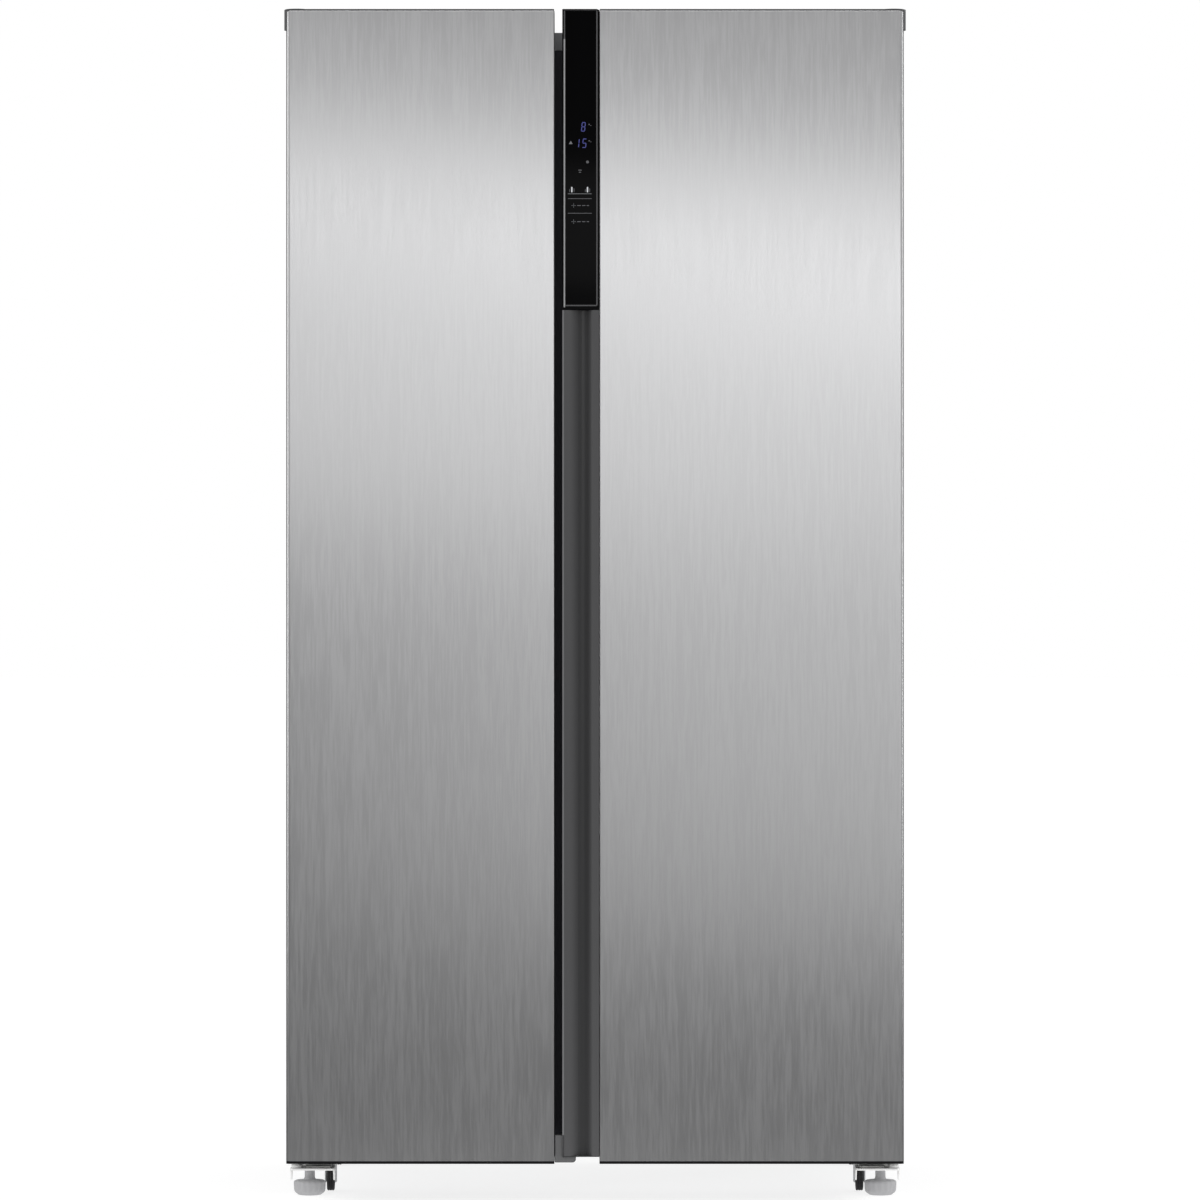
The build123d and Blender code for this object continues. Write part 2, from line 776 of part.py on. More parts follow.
def cap_body(x_range, z_out, z_in, z_skirt):
    """Door end cap: rim flush with the skin, plate inside it and a skirt ring."""
    low, high = sorted((z_out, z_in))
    outline = door_box(x_range, 0, low, high)
    low, high = sorted((z_in, z_skirt))
    skirt = door_box(x_range, sheet, low, high) - door_box(x_range, sheet + cap_wall, low, high)
    return outline, skirt


def end_cap(x_range, at_top):
    """Rim, plate and skirt of a cap at the top or the bottom of a door."""
    sign = -1 if at_top else 1
    end = door_top if at_top else door_bottom
    rim, skirt = cap_body(x_range, end, end + sign * cap_rim, end + sign * cap_skirt)
    low, high = sorted((end + sign * cap_rim, end + sign * cap_plate))
    return rim + door_box(x_range, sheet, low, high) + skirt


def top_cap(x_range):
    """Top cap with the hinge pocket and the bush for the upper pin."""
    bush_low = pocket_z - upper_pin_length - 2
    cap = end_cap(x_range, True) + pocket(x_range, cap_wall, pocket_floor_drop)
    cap -= pocket(x_range, 0, 0)
    cap += door_boss(x_range, bush_low, pocket_z, boss_radius)
    return cap - door_boss(x_range, bush_low, pocket_z + 1, hinge_pin_radius + running_clearance)


def bottom_cap(x_range):
    """Bottom cap with the bush for the lower pin."""
    bush_top = door_bottom + lower_pin_length + 2
    cap = end_cap(x_range, False) + door_boss(x_range, door_bottom, bush_top, boss_radius)
    return cap - door_boss(x_range, door_bottom - 1, bush_top, hinge_pin_radius + running_clearance)


def cap_space(x_range):
    """Space that the caps take out of the door's foam."""
    space = door_boss(x_range, door_bottom, door_bottom + lower_pin_length + 2, boss_radius)
    space += door_boss(x_range, pocket_z - upper_pin_length - 2, pocket_z, boss_radius)
    space += pocket(x_range, cap_wall, pocket_floor_drop)
    space += pocket(x_range, 0, 0)
    for low, high in ((door_bottom, door_bottom + cap_plate), (door_top - cap_plate, door_top)):
        space += block(-door_half, door_half, front_y, door_back_y, low, high)
    for low, high in ((door_bottom, door_bottom + cap_skirt), (door_top - cap_skirt, door_top)):
        space += door_box(x_range, 0, low, high) - door_box(x_range, sheet + cap_wall, low, high)
    return space


def dyke_x(x_range, room):
    """Outer side limits of the rib that stands into the compartment."""
    if hinge_side(x_range) < 0:
        return room[0] + dyke_hinge_clearance, room[1] - dyke_free_clearance
    return room[0] + dyke_free_clearance, room[1] - dyke_hinge_clearance


def dyke_ring(x_range, room, inset):
    """Rectangular rib around the bins, shrunk by an inset for its inside."""
    x0, x1 = dyke_x(x_range, room)
    z0 = floor_z + dyke_end_clearance
    z1 = ceiling_z - dyke_end_clearance
    depth = door_back_y + dyke_depth - inset
    outer = block(x0 + inset, x1 - inset, door_back_y - liner_wall, depth, z0 + inset, z1 - inset)
    inner = block(x0 + dyke_width - inset, x1 - dyke_width + inset, door_back_y - liner_wall, depth,
                  z0 + dyke_width - inset, z1 - dyke_width + inset)
    return outer - inner


def liner_plate(plate_x):
    """Flat part of the door liner between its side limits."""
    return block(plate_x[0], plate_x[1], door_back_y - liner_wall, door_back_y,
                 door_bottom + cap_skirt, door_top - cap_skirt)


def bin_levels(shares):
    """Undersides of the door bins."""
    z0 = floor_z + dyke_end_clearance + dyke_width
    height = ceiling_z - dyke_end_clearance - dyke_width - z0
    return [z0 + share * height for share in shares]


def bin_lugs(x_range, room, shares):
    """Small ledges on the rib's inner faces that carry the bins."""
    x0, x1 = dyke_x(x_range, room)
    lugs = []
    for z in bin_levels(shares):
        for low, high in ((x0 + dyke_width, x0 + dyke_width + lug_reach), (x1 - dyke_width - lug_reach, x1 - dyke_width)):
            lugs.append(block(low, high, door_back_y, door_back_y + dyke_depth - 6, z - lug_height, z))
    return lugs


def door_liner(x_range, plate_x, room, shares):
    """White moulded inside of a door."""
    body = liner_plate(plate_x) + dyke_ring(x_range, room, 0)
    body -= dyke_ring(x_range, room, liner_wall)
    body -= pocket_notch(x_range)
    return body + bin_lugs(x_range, room, shares)


def door_gasket(x_range):
    """Magnetic seal: a soft ring on the liner that meets the cabinet's front."""
    side = hinge_side(x_range)
    insets = (gasket_hinge_inset, gasket_free_inset) if side < 0 else (gasket_free_inset, gasket_hinge_inset)
    x0 = x_range[0] + insets[0]
    x1 = x_range[1] - insets[1]
    z0 = door_bottom + gasket_low_inset
    z1 = cabinet_top - gasket_below_cabinet_top
    y1 = cabinet_front_y - seal_gap
    ring = block(x0, x1, door_back_y, y1, z0, z1)
    return ring - block(x0 + gasket_width, x1 - gasket_width, door_back_y, y1, z0 + gasket_width, z1 - gasket_width)


def door_bin(x0, x1, z):
    """Open tray that hooks between the ribs and stands on its lugs."""
    y0 = door_back_y + part_gap
    y1 = door_back_y + bin_depth
    tray = block(x0, x1, y0, y1, z, z + bin_height)
    tray = soft_corners(tray, Axis.Z, bin_radius, lambda edge: edge.center().Y > y0 + 1)
    hollow = block(x0 + bin_wall, x1 - bin_wall, y0 + bin_wall, y1 - bin_wall, z + bin_wall, z + bin_height)
    hollow = soft_corners(hollow, Axis.Z, bin_radius - bin_wall, lambda edge: edge.center().Y > y0 + bin_wall + 1)
    return tray - hollow


def door_bins(x_range, room, shares):
    """All trays of a door."""
    x0, x1 = dyke_x(x_range, room)
    x0 += dyke_width + bin_side_clearance
    x1 -= dyke_width + bin_side_clearance
    return group([door_bin(x0, x1, z) for z in bin_levels(shares)])


# ---------------------------------------------------------------- door edges, handle strip and display
grip_width = grip_radius - grip_offset + trim_wall


def door_foam_core(x_range):
    """Insulation between a door's skin, caps and liner, without its free edge."""
    core = door_box(x_range, sheet, door_bottom + cap_plate, door_top - cap_plate)
    return core - cap_space(x_range)


def freezer_grip():
    """Moulded free edge of the freezer door with a round finger groove along it."""
    x1 = freezer_door_x[1]
    z0 = door_bottom + cap_skirt
    z1 = door_top - cap_skirt
    grip = block(x1 - grip_width, x1, front_y + grip_skin_fold, door_back_y, z0, z1)
    return grip - rod(grip_radius, z1 - z0, (x1 + grip_offset, front_y + grip_setback, z0))


def freezer_liner_plate_x():
    """Side limits of the freezer door's liner plate."""
    return freezer_door_x[0] + skin_return, freezer_door_x[1] - grip_width


def fridge_liner_plate_x():
    """Side limits of the refrigerator door's liner plate."""
    return fridge_door_x[0] + trim_wall, fridge_door_x[1] - skin_return


def freezer_door_foam():
    """Insulation of the freezer door, with the core of its rib."""
    foam = door_foam_core(freezer_door_x)
    x1 = freezer_door_x[1]
    foam -= block(x1 - grip_width, x1, front_y + grip_skin_fold, door_back_y, door_bottom, door_top)
    foam -= liner_plate(freezer_liner_plate_x())
    return foam + dyke_ring(freezer_door_x, freezer_x, liner_wall)


def fridge_door_foam():
    """Insulation of the refrigerator door, also behind the handle strip and the display."""
    foam = door_foam_core((steel_edge_x, fridge_door_x[1]))
    foam += block(fridge_door_x[0] + trim_wall, steel_edge_x + sheet, front_y + grip_skin_fold,
                  door_back_y - liner_wall, strip_z + cap_skirt, door_top - cap_skirt)
    foam -= liner_plate(fridge_liner_plate_x())
    foam -= end_block_box()
    return foam + dyke_ring(fridge_door_x, fridge_x, liner_wall)


def end_block_box():
    """Box of the block at the foot of the handle strip."""
    x0 = freezer_door_edge + end_block_clearance
    return block(x0, x0 + end_block_width, front_y + end_block_setback,
                 front_y + hinge_setback - end_block_radius, door_bottom, door_bottom + end_block_height)


def end_block():
    """Rounded block that closes the gap between the doors at the foot of the handle strip."""
    shape = end_block_box()
    edges = shape.edges().filter_by(Axis.Y).sort_by(Axis.Z)[:2].sort_by(Axis.X)
    return fillet(edges[-1], end_block_radius)


def handle_strip():
    """Dark moulding along the free edge: a flat ledge and a hollow groove, and the door's side wall."""
    x0, x1 = fridge_door_x[0], steel_edge_x
    depth = front_y + grip_skin_fold
    chord = handle_width - groove_edge - ledge_width
    centre_y = front_y - math.sqrt(groove_radius ** 2 - (chord / 2) ** 2)
    bar = block(x0, x1, front_y, depth, strip_z, display_z)
    bar -= rod(groove_radius, display_z - strip_z, (x1 - groove_edge - chord / 2, centre_y, strip_z))
    bar += block(x0, x0 + trim_wall, front_y, door_back_y, strip_z, display_z)
    bar += block(x0, x1, depth, door_back_y - liner_wall, strip_z, strip_z + cap_skirt)
    return bar - end_block_box() - block(x0 - 1, freezer_door_edge + end_block_clearance + end_block_width,
                                          front_y, front_y + end_block_setback, strip_z,
                                          door_bottom + end_block_height)


def display_housing():
    """Black frame of the display, flush with the door's front, with the side wall behind it."""
    x0, x1 = fridge_door_x[0], steel_edge_x
    depth = front_y + grip_skin_fold
    frame = block(x0, x1, front_y, depth, display_z, door_top)
    frame -= block(x0 + display_wall, x1, front_y, front_y + display_setback + display_glass_depth,
                   display_z + display_wall, door_top - display_wall)
    frame += block(x0, x0 + trim_wall, front_y, door_back_y, display_z, door_top)
    frame += block(x0, x1, depth, door_back_y, door_top - cap_skirt, door_top)
    return frame


def display_panel():
    """Smoked glass of the display."""
    return block(fridge_door_x[0] + display_wall + display_side_clearance, steel_edge_x - display_side_clearance,
                 front_y + display_setback, front_y + display_setback + display_glass_depth,
                 display_z + display_wall + display_side_clearance,
                 door_top - display_wall - display_side_clearance)


def fridge_door_caps():
    """Caps at both ends of the refrigerator door and the block below the handle strip."""
    steel = (steel_edge_x, fridge_door_x[1])
    return group([top_cap(steel), bottom_cap(steel), end_block()])


def freezer_door_caps():
    """Caps at both ends of the freezer door."""
    return group([top_cap(freezer_door_x), bottom_cap(freezer_door_x)])


# ---------------------------------------------------------------- shelves, drawers and covers
def shelf_glass(x_range, z, rear_y):
    """Glass plate of one shelf."""
    return block(x_range[0] + shelf_side_gap, x_range[1] - shelf_side_gap, shelf_front_y + shelf_trim_depth,
                 rear_y, z, z + shelf_thickness)


def shelf_trim(x_range, z):
    """Front moulding of one shelf."""
    trim = block(x_range[0] + shelf_side_gap, x_range[1] - shelf_side_gap, shelf_front_y,
                 shelf_front_y + shelf_trim_depth, z, z + shelf_trim_height)
    return soft_corners(trim, Axis.X, 3, lambda edge: edge.center().Y < shelf_front_y + 1)


def freezer_shelves():
    """Glass shelves of the freezer; the lowest one covers the drawers."""
    rear = freezer_rear_y() - part_gap
    return group([shelf_glass(freezer_x, z, rear) for z in freezer_shelf_levels()])


def fridge_shelves():
    """Glass shelves of the refrigerator; the lowest one covers the drawers."""
    rear = liner_back_y - fridge_duct_depth - part_gap
    return group([shelf_glass(fridge_x, z, rear) for z in fridge_shelf_levels()])


def shelf_trims():
    """Front mouldings of all shelves."""
    trims = [shelf_trim(freezer_x, z) for z in freezer_shelf_levels()]
    return group(trims + [shelf_trim(fridge_x, z) for z in fridge_shelf_levels()])


def drawer(x_range, rail_z, height, rear_y):
    """Clear open drawer whose side lips lie on the runners."""
    z1 = rail_z + drawer_lip_height
    z0 = z1 - height
    x0 = x_range[0] + drawer_side_gap + drawer_lip
    x1 = x_range[1] - drawer_side_gap - drawer_lip
    body = block(x0, x1, shelf_front_y, rear_y, z0, z1)
    body = soft_corners(body, Axis.Z, drawer_radius, lambda edge: edge.center().Y > shelf_front_y + 1)
    hollow = block(x0 + drawer_wall, x1 - drawer_wall, shelf_front_y + drawer_front, rear_y - drawer_wall,
                   z0 + drawer_wall, z1)
    hollow = soft_corners(hollow, Axis.Z, drawer_radius - drawer_wall,
                          lambda edge: edge.center().Y > shelf_front_y + drawer_front + 1)
    lips = block(x0 - drawer_lip, x0, shelf_front_y + drawer_front, rear_y - drawer_radius, rail_z, z1)
    lips += block(x1, x1 + drawer_lip, shelf_front_y + drawer_front, rear_y - drawer_radius, rail_z, z1)
    return body - hollow + lips


def lower_drawer(x_range):
    """Short drawer in front of the step."""
    return drawer(x_range, drawer_rail_levels()[0], lower_drawer_height, step_front_y - drawer_step_gap)


def upper_drawer(x_range, rear_y):
    """Deep drawer above the step."""
    return drawer(x_range, drawer_rail_levels()[1], upper_drawer_height, rear_y - drawer_back_gap)


def interior_lights():
    """Lamp covers under the ceiling of each compartment."""
    lamps = []
    for x_range in (freezer_x, fridge_x):
        x = sum(x_range) / 2
        lamp = block(x - light_length / 2, x + light_length / 2, 0, light_depth, ceiling_z - light_height, ceiling_z)
        lamps.append(soft_corners(lamp, Axis.Z, light_corner))
    return group(lamps)


def fan_z():
    """Height of the freezer fan."""
    return step_z + evaporator_fan_rise


def freezer_x_middle():
    """Middle of the freezer compartment."""
    return sum(freezer_x) / 2


def freezer_duct_cover():
    """Rear wall of the freezer space, in front of the evaporator, with slots around the fan."""
    y = freezer_rear_y()
    top = ceiling_z - duct_top_gap
    cover = block(freezer_x[0], freezer_x[1], y, y + duct_panel, step_z, top)
    cover += block(freezer_x[0], freezer_x[1], y + duct_panel, liner_back_y, top - duct_panel, top)
    for row in range(-3, 4):
        z = fan_z() + fan_slot_pitch * row
        half = math.sqrt(fan_radius ** 2 - (fan_slot_pitch * row) ** 2)
        cover -= block(freezer_x_middle() - half, freezer_x_middle() + half, y, y + duct_panel,
                       z - fan_slot_height / 2, z + fan_slot_height / 2)
    for row in range(4):
        z = step_z + return_slot_rise + return_slot_pitch * row
        cover -= block(freezer_x[0] + return_slot_inset, freezer_x[1] - return_slot_inset, y, y + duct_panel,
                       z, z + fan_slot_height)
    return cover


def fridge_duct_cover():
    """Air channel on the rear wall of the refrigerator space."""
    x = sum(fridge_x) / 2
    y = liner_back_y - fridge_duct_depth
    z0 = cover_z + fridge_duct_low_gap
    z1 = ceiling_z - fridge_duct_high_gap
    cover = block(x - fridge_duct_width / 2, x + fridge_duct_width / 2, y, liner_back_y, z0, z1)
    cover = soft_corners(cover, Axis.Z, fridge_duct_corner, lambda edge: edge.center().Y < y + 1)
    cover -= block(x - fridge_duct_width / 2 + duct_panel, x + fridge_duct_width / 2 - duct_panel, y + duct_panel,
                   liner_back_y, z0 + duct_panel, z1 - duct_panel)
    for level in fridge_shelf_levels():
        cover -= block(x - duct_slot_width / 2, x + duct_slot_width / 2, y, y + duct_panel,
                       level + duct_slot_rise, level + duct_slot_rise + duct_slot_height)
    return cover


# ---------------------------------------------------------------- cooling system
def fan(direction, at):
    """Axial fan with a hub and pitched blades, its hub starting at a point."""
    wheel = Cylinder(fan_hub_radius, fan_hub_length, align=(Align.CENTER, Align.CENTER, Align.MIN))
    length = fan_radius - fan_hub_radius + fan_blade_root
    blade = Box(length, fan_blade_width, fan_blade_thickness)
    blade = Pos(fan_hub_radius - fan_blade_root + length / 2, 0, fan_hub_length / 2) * Rot(fan_blade_pitch, 0, 0) * blade
    for index in range(fan_blades):
        wheel += Rot(0, 0, 360 / fan_blades * index) * blade
    wheel &= Cylinder(fan_radius, fan_hub_length, align=(Align.CENTER, Align.CENTER, Align.MIN))
    wheel -= Cylinder(fan_shaft_radius + running_clearance, fan_hub_length,
                      align=(Align.CENTER, Align.CENTER, Align.MIN))
    return Plane(origin=at, z_dir=direction) * wheel


def fan_motor(direction, at, reach):
    """Motor with its shaft through the fan's hub and a cross bar that reaches its supports."""
    shaft_length = fan_hub_length + 2
    motor = Cylinder(motor_radius, motor_length, align=(Align.CENTER, Align.CENTER, Align.MIN))
    motor = Pos(0, 0, fan_hub_length + 1) * motor
    motor += Cylinder(fan_shaft_radius, shaft_length, align=(Align.CENTER, Align.CENTER, Align.MIN))
    bar_z = fan_hub_length + 1 + motor_length - motor_leg
    motor += Pos(0, 0, bar_z + motor_leg / 2) * Box(2 * reach, motor_leg, motor_leg)
    return Plane(origin=at, x_dir=(0, 0, 1) if abs(direction[0]) else (1, 0, 0), z_dir=direction) * motor


def evaporator_fan_at():
    """Front end of the freezer fan's hub."""
    return (freezer_x_middle(), freezer_rear_y() + duct_panel + 6, fan_z())


def evaporator_fan():
    """Fan that blows through the slots of the freezer's rear wall."""
    return fan((0, 1, 0), evaporator_fan_at())


def evaporator_fan_motor():
    """Motor on a bar that spans the duct from wall to wall."""
    return fan_motor((0, 1, 0), evaporator_fan_at(), (freezer_x[1] - freezer_x[0]) / 2)


def evaporator():
    """Finned coil that fills the duct behind the freezer's rear wall."""
    x0 = freezer_x[0] + evaporator_side_gap
    x1 = freezer_x[1] - evaporator_side_gap
    y0 = freezer_rear_y() + duct_panel + evaporator_front_gap
    y1 = liner_back_y
    z0 = step_z + evaporator_rise
    z1 = z0 + evaporator_height
    row_pitch = evaporator_height / tube_rows
    rows = [z0 + row_pitch * (row + 0.5) for row in range(tube_rows)]
    coil = [rod(tube_radius, x1 - x0, (x0, y, z), (1, 0, 0)) for z in rows for y in (y0 + tube_inset, y1 - tube_inset)]
    count = int((x1 - x0 - 2 * fin_margin) / fin_pitch)
    fins = [block(x0 + fin_margin + fin_pitch * i, x0 + fin_margin + fin_pitch * i + fin_thickness, y0, y1, z0, z1)
            for i in range(count + 1)]
    return coil[0].fuse(*coil[1:], *fins)


def compressor():
    """Welded steel dome on a foot plate, with its pipe stub."""
    z0 = deck_z + grommet_height
    y = machine_middle_y()
    plate = block(compressor_x - compressor_base / 2, compressor_x + compressor_base / 2,
                  y - compressor_base_depth / 2, y + compressor_base_depth / 2, z0, z0 + compressor_foot_plate)
    plate = soft_corners(plate, Axis.Z, compressor_foot_corner)
    dome = rod(compressor_radius - compressor_dome_inset, compressor_height, (compressor_x, y, z0 + 1))
    dome = fillet(dome.edges().filter_by(GeomType.CIRCLE).sort_by(Axis.Z)[-1], compressor_dome_edge)
    stub = rod(pipe_radius + 1, compressor_radius, (compressor_x, y, z0 + compressor_stub_rise), (-1, 0, 0))
    return plate + dome + stub


def machine_middle_y():
    """Middle of the machine space from front to back."""
    return machine_y + machine_depth / 2


def compressor_grommets():
    """Rubber mounts between the deck and the compressor's foot plate."""
    mounts = []
    for dx in (-1, 1):
        for dy in (-1, 1):
            mounts.append(rod(grommet_radius, grommet_height,
                              (compressor_x + dx * (compressor_base / 2 - grommet_inset),
                               machine_middle_y() + dy * (compressor_base_depth / 2 - grommet_inset), deck_z)))
    return group(mounts)


def condenser_base_z():
    """Height of the condenser's lowest tube."""
    return deck_z + drain_pan_height + condenser_lift


def condenser_coil():
    """Rows of straight tubes between two end plates that stand on the deck."""
    x0 = condenser_x - condenser_width / 2
    x1 = condenser_x + condenser_width / 2
    y0 = machine_middle_y() - condenser_depth / 2
    pieces = []
    for row in range(condenser_rows):
        y = y0 + condenser_depth * (row + 0.5) / condenser_rows
        for step in range(condenser_passes):
            z = condenser_base_z() + condenser_height * step / (condenser_passes - 1)
            pieces.append(rod(condenser_tube_radius, x1 - x0, (x0, y, z), (1, 0, 0)))
    for x in (x0 + condenser_plate_inset, x1 - condenser_plate_inset - shroud_plate):
        pieces.append(block(x, x + shroud_plate, y0, y0 + condenser_depth, deck_z,
                            condenser_base_z() + condenser_height + condenser_plate_inset))
    return pieces[0].fuse(*pieces[1:])


def drain_pan():
    """Open pan under the condenser that collects the defrost water."""
    half = condenser_width / 2 - condenser_plate_inset - shroud_plate - drain_pan_gap
    x0, x1 = condenser_x - half, condenser_x + half
    y0 = machine_middle_y() - drain_pan_depth / 2
    y1 = machine_middle_y() + drain_pan_depth / 2
    pan = block(x0, x1, y0, y1, deck_z, deck_z + drain_pan_height)
    return pan - block(x0 + pan_wall, x1 - pan_wall, y0 + pan_wall, y1 - pan_wall, deck_z + pan_wall,
                       deck_z + drain_pan_height)


def condenser_shroud():
    """Upright plate with the round opening of the condenser fan."""
    plate = block(shroud_x, shroud_x + shroud_plate, machine_y + pan_sheet, back_y - rear_cover_sheet - 1,
                  deck_z, machine_top - pan_sheet)
    plate -= rod(fan_radius + shroud_fan_clearance, shroud_plate, (shroud_x, machine_middle_y(), fan_machine_z()), (1, 0, 0))
    return plate - rod(pipe_radius + pipe_hole_clearance, shroud_plate,
                       (shroud_x, pipe_hole_at()[1], machine_top - pipe_drop), (1, 0, 0))


def fan_machine_z():
    """Height of the condenser fan's axis."""
    return (deck_z + machine_top - pan_sheet) / 2


def condenser_fan_at():
    """Hub start of the condenser fan."""
    return (shroud_x - fan_hub_length / 2, machine_middle_y(), fan_machine_z())


def condenser_fan():
    """Fan in the shroud's opening."""
    return fan((1, 0, 0), condenser_fan_at())


def condenser_fan_motor():
    """Motor on an upright bar from the deck to the roof, and the shroud plate."""
    reach = (machine_top - pan_sheet - deck_z) / 2
    return group([fan_motor((1, 0, 0), condenser_fan_at(), reach), condenser_shroud()])


def pipe_hole_at():
    """Place of the hole that leads the pipes from the freezer's duct to the machine space."""
    return (freezer_x_middle(), liner_back_y - pipe_hole_setback)


def duct_pipes_space(grow):
    """Upright hole for the pipes through deck roof, foam and liner."""
    x, y = pipe_hole_at()
    return rod(pipe_radius + pipe_hole_clearance + grow, step_z - machine_top + 2 * duct_hole_reach,
               (x, y, machine_top - duct_hole_reach))


def refrigerant_pipes():
    """Suction pipe between the evaporator and the compressor, and the short pipe to the condenser."""
    x, y = pipe_hole_at()
    z0 = deck_z + grommet_height + compressor_stub_rise
    end_x = compressor_x - compressor_radius
    high = machine_top - pipe_drop
    turn_x = shroud_x + pipe_turn
    path = FilletPolyline((x, y, step_z + evaporator_rise), (x, y, high), (turn_x, y, high),
                          (turn_x, machine_middle_y(), z0), (end_x, machine_middle_y(), z0), radius=pipe_bend_radius)
    start = Plane(origin=path @ 0, z_dir=path % 0)
    return sweep(start * Circle(pipe_radius), path=path)


def rear_cover():
    """Louvred sheet over the back of the machine space."""
    y0 = back_y - rear_cover_sheet
    half = cabinet_half - sheet
    cover = block(-half, half, y0, back_y, deck_z, machine_top - pan_sheet)
    pitch = (2 * (half - louvre_margin) + louvre_gap) / louvre_columns
    for column in range(louvre_columns):
        x = -half + louvre_margin + pitch * column
        for row in range(louvre_rows):
            z = fan_machine_z() + louvre_pitch * (row - (louvre_rows - 1) / 2)
            cover -= block(x, x + pitch - louvre_gap, y0, back_y, z, z + louvre_height)
    return cover - gland_rod(gland_radius, y0, back_y)


def gland_rod(radius, y0, y1):
    """Round piece about the axis of the mains lead's gland."""
    return rod(radius, y1 - y0, (-cabinet_half + gland_inset, y0, deck_z + gland_rise), (0, 1, 0))


def cord_gland():
    """Rubber bush in the rear cover where the mains lead enters."""
    y0 = back_y - rear_cover_sheet
    end = back_y + gland_flange_depth
    bush = gland_rod(gland_radius, y0, back_y) + gland_rod(gland_radius + gland_flange, back_y, end)
    return bush - gland_rod(gland_bore_radius, y0, end)


def control_cover():
    """Raised cover over the control board's recess in the back."""
    half = control_cover_width / 2
    cover = block(-half, half, back_y, back_y + control_cover_bulge, control_z(), control_z() + control_cover_height)
    cover = soft_corners(cover, Axis.Y, control_cover_corner)
    return cover - block(-half + control_cover_border, half - control_cover_border,
                         back_y, back_y + control_cover_bulge - sheet * 2,
                         control_z() + control_cover_border, control_z() + control_cover_height - control_cover_border)


def control_board():
    """Circuit board on its stand-offs in the recess, with a transformer and a capacitor block."""
    half = control_cover_width / 2 - board_inset
    z0 = control_z() + board_inset
    z1 = control_z() + control_cover_height - board_inset
    y = back_y - control_recess
    face_y = y + stand_off + board_thickness
    board = block(-half, half, y + stand_off, face_y, z0, z1)
    board += block(-half + transformer_size / 2, -half + 1.5 * transformer_size, face_y, face_y + transformer_height,
                   z0 + transformer_size / 2, z0 + 1.5 * transformer_size)
    board += block(half - 1.4 * capacitor_width, half - 0.4 * capacitor_width, face_y, face_y + capacitor_height,
                   z0 + 0.6 * capacitor_width, z1 - 0.4 * capacitor_width)
    for x in (-half + stand_off_inset, half - stand_off_inset):
        for z in (z0 + stand_off_inset, z1 - stand_off_inset):
            board += rod(stand_off_radius, stand_off, (x, y, z), (0, 1, 0))
    return board


# ---------------------------------------------------------------- all pieces
def main():
    """Writes one STEP file for each named piece."""
    os.makedirs("parts", exist_ok=True)
    fridge_rear = liner_back_y - fridge_duct_depth
    pieces = {
        "cabinet_shell": cabinet_shell(),
        "front_frame": front_frame(),
        "mullion_strip": mullion_strip(),
        "back_panel": back_panel(),
        "base_pan": base_pan() - duct_pipes_space(1),
        "freezer_foam": cabinet_foam(freezer_x, -cabinet_half + sheet, mullion_x),
        "fridge_foam": cabinet_foam(fridge_x, mullion_x, cabinet_half - sheet),
        "freezer_liner": freezer_liner(),
        "fridge_liner": fridge_liner(),
        "hinge_covers": hinge_covers(),
        "top_hinges": top_hinges(),
        "bottom_hinges": bottom_hinges(),
        "hinge_screws": hinge_screws(),
        "roller_brackets": roller_brackets(),
        "compressor": compressor(),
        "compressor_grommets": compressor_grommets(),
        "condenser_coil": condenser_coil(),
        "condenser_fan_motor": condenser_fan_motor(),
        "condenser_fan": condenser_fan(),
        "drain_pan": drain_pan(),
        "refrigerant_pipes": refrigerant_pipes(),
        "rear_cover": rear_cover(),
        "control_cover": control_cover(),
        "control_board": control_board(),
        "evaporator": evaporator(),
        "evaporator_fan": evaporator_fan(),
        "evaporator_fan_motor": evaporator_fan_motor(),
        "freezer_duct_cover": freezer_duct_cover(),
        "fridge_duct_cover": fridge_duct_cover(),
        "interior_lights": interior_lights(),
        "freezer_shelves": freezer_shelves(),
        "fridge_shelves": fridge_shelves(),
        "shelf_trims": shelf_trims(),
        "cord_gland": cord_gland(),
        "freezer_door_skin": freezer_door_skin(),
        "freezer_door_foam": freezer_door_foam(),
        "freezer_door_liner": door_liner(freezer_door_x, freezer_liner_plate_x(), freezer_x, freezer_bin_levels),
        "freezer_door_caps": freezer_door_caps(),
        "freezer_door_gasket": door_gasket(freezer_door_x),
        "freezer_door_bins": door_bins(freezer_door_x, freezer_x, freezer_bin_levels),
        "freezer_door_grip": freezer_grip(),
        "fridge_door_skin": fridge_door_skin(),
        "fridge_door_foam": fridge_door_foam(),
        "fridge_door_liner": door_liner(fridge_door_x, fridge_liner_plate_x(), fridge_x, fridge_bin_levels),
        "fridge_door_caps": fridge_door_caps(),
        "fridge_door_gasket": door_gasket(fridge_door_x),
        "fridge_door_bins": door_bins(fridge_door_x, fridge_x, fridge_bin_levels),
        "handle_strip": handle_strip(),
        "display_housing": display_housing(),
        "display_panel": display_panel(),
        "freezer_drawer_lower": lower_drawer(freezer_x),
        "freezer_drawer_upper": upper_drawer(freezer_x, freezer_rear_y()),
        "crisper_drawer_lower": lower_drawer(fridge_x),
        "crisper_drawer_upper": upper_drawer(fridge_x, fridge_rear),
        "front_roller_left": roller(-front_roller_x, front_roller_y, front_roller_z),
        "front_roller_right": roller(front_roller_x, front_roller_y, front_roller_z),
        "rear_roller_left": roller(-rear_roller_x, rear_roller_y, roller_radius),
        "rear_roller_right": roller(rear_roller_x, rear_roller_y, roller_radius),
        "levelling_foot_left": levelling_foot(-1),
        "levelling_foot_right": levelling_foot(1),
    }
    for name, shape in pieces.items():
        export_step(shape, f"parts/{name}.step")
    print(len(pieces), "pieces written")


main()
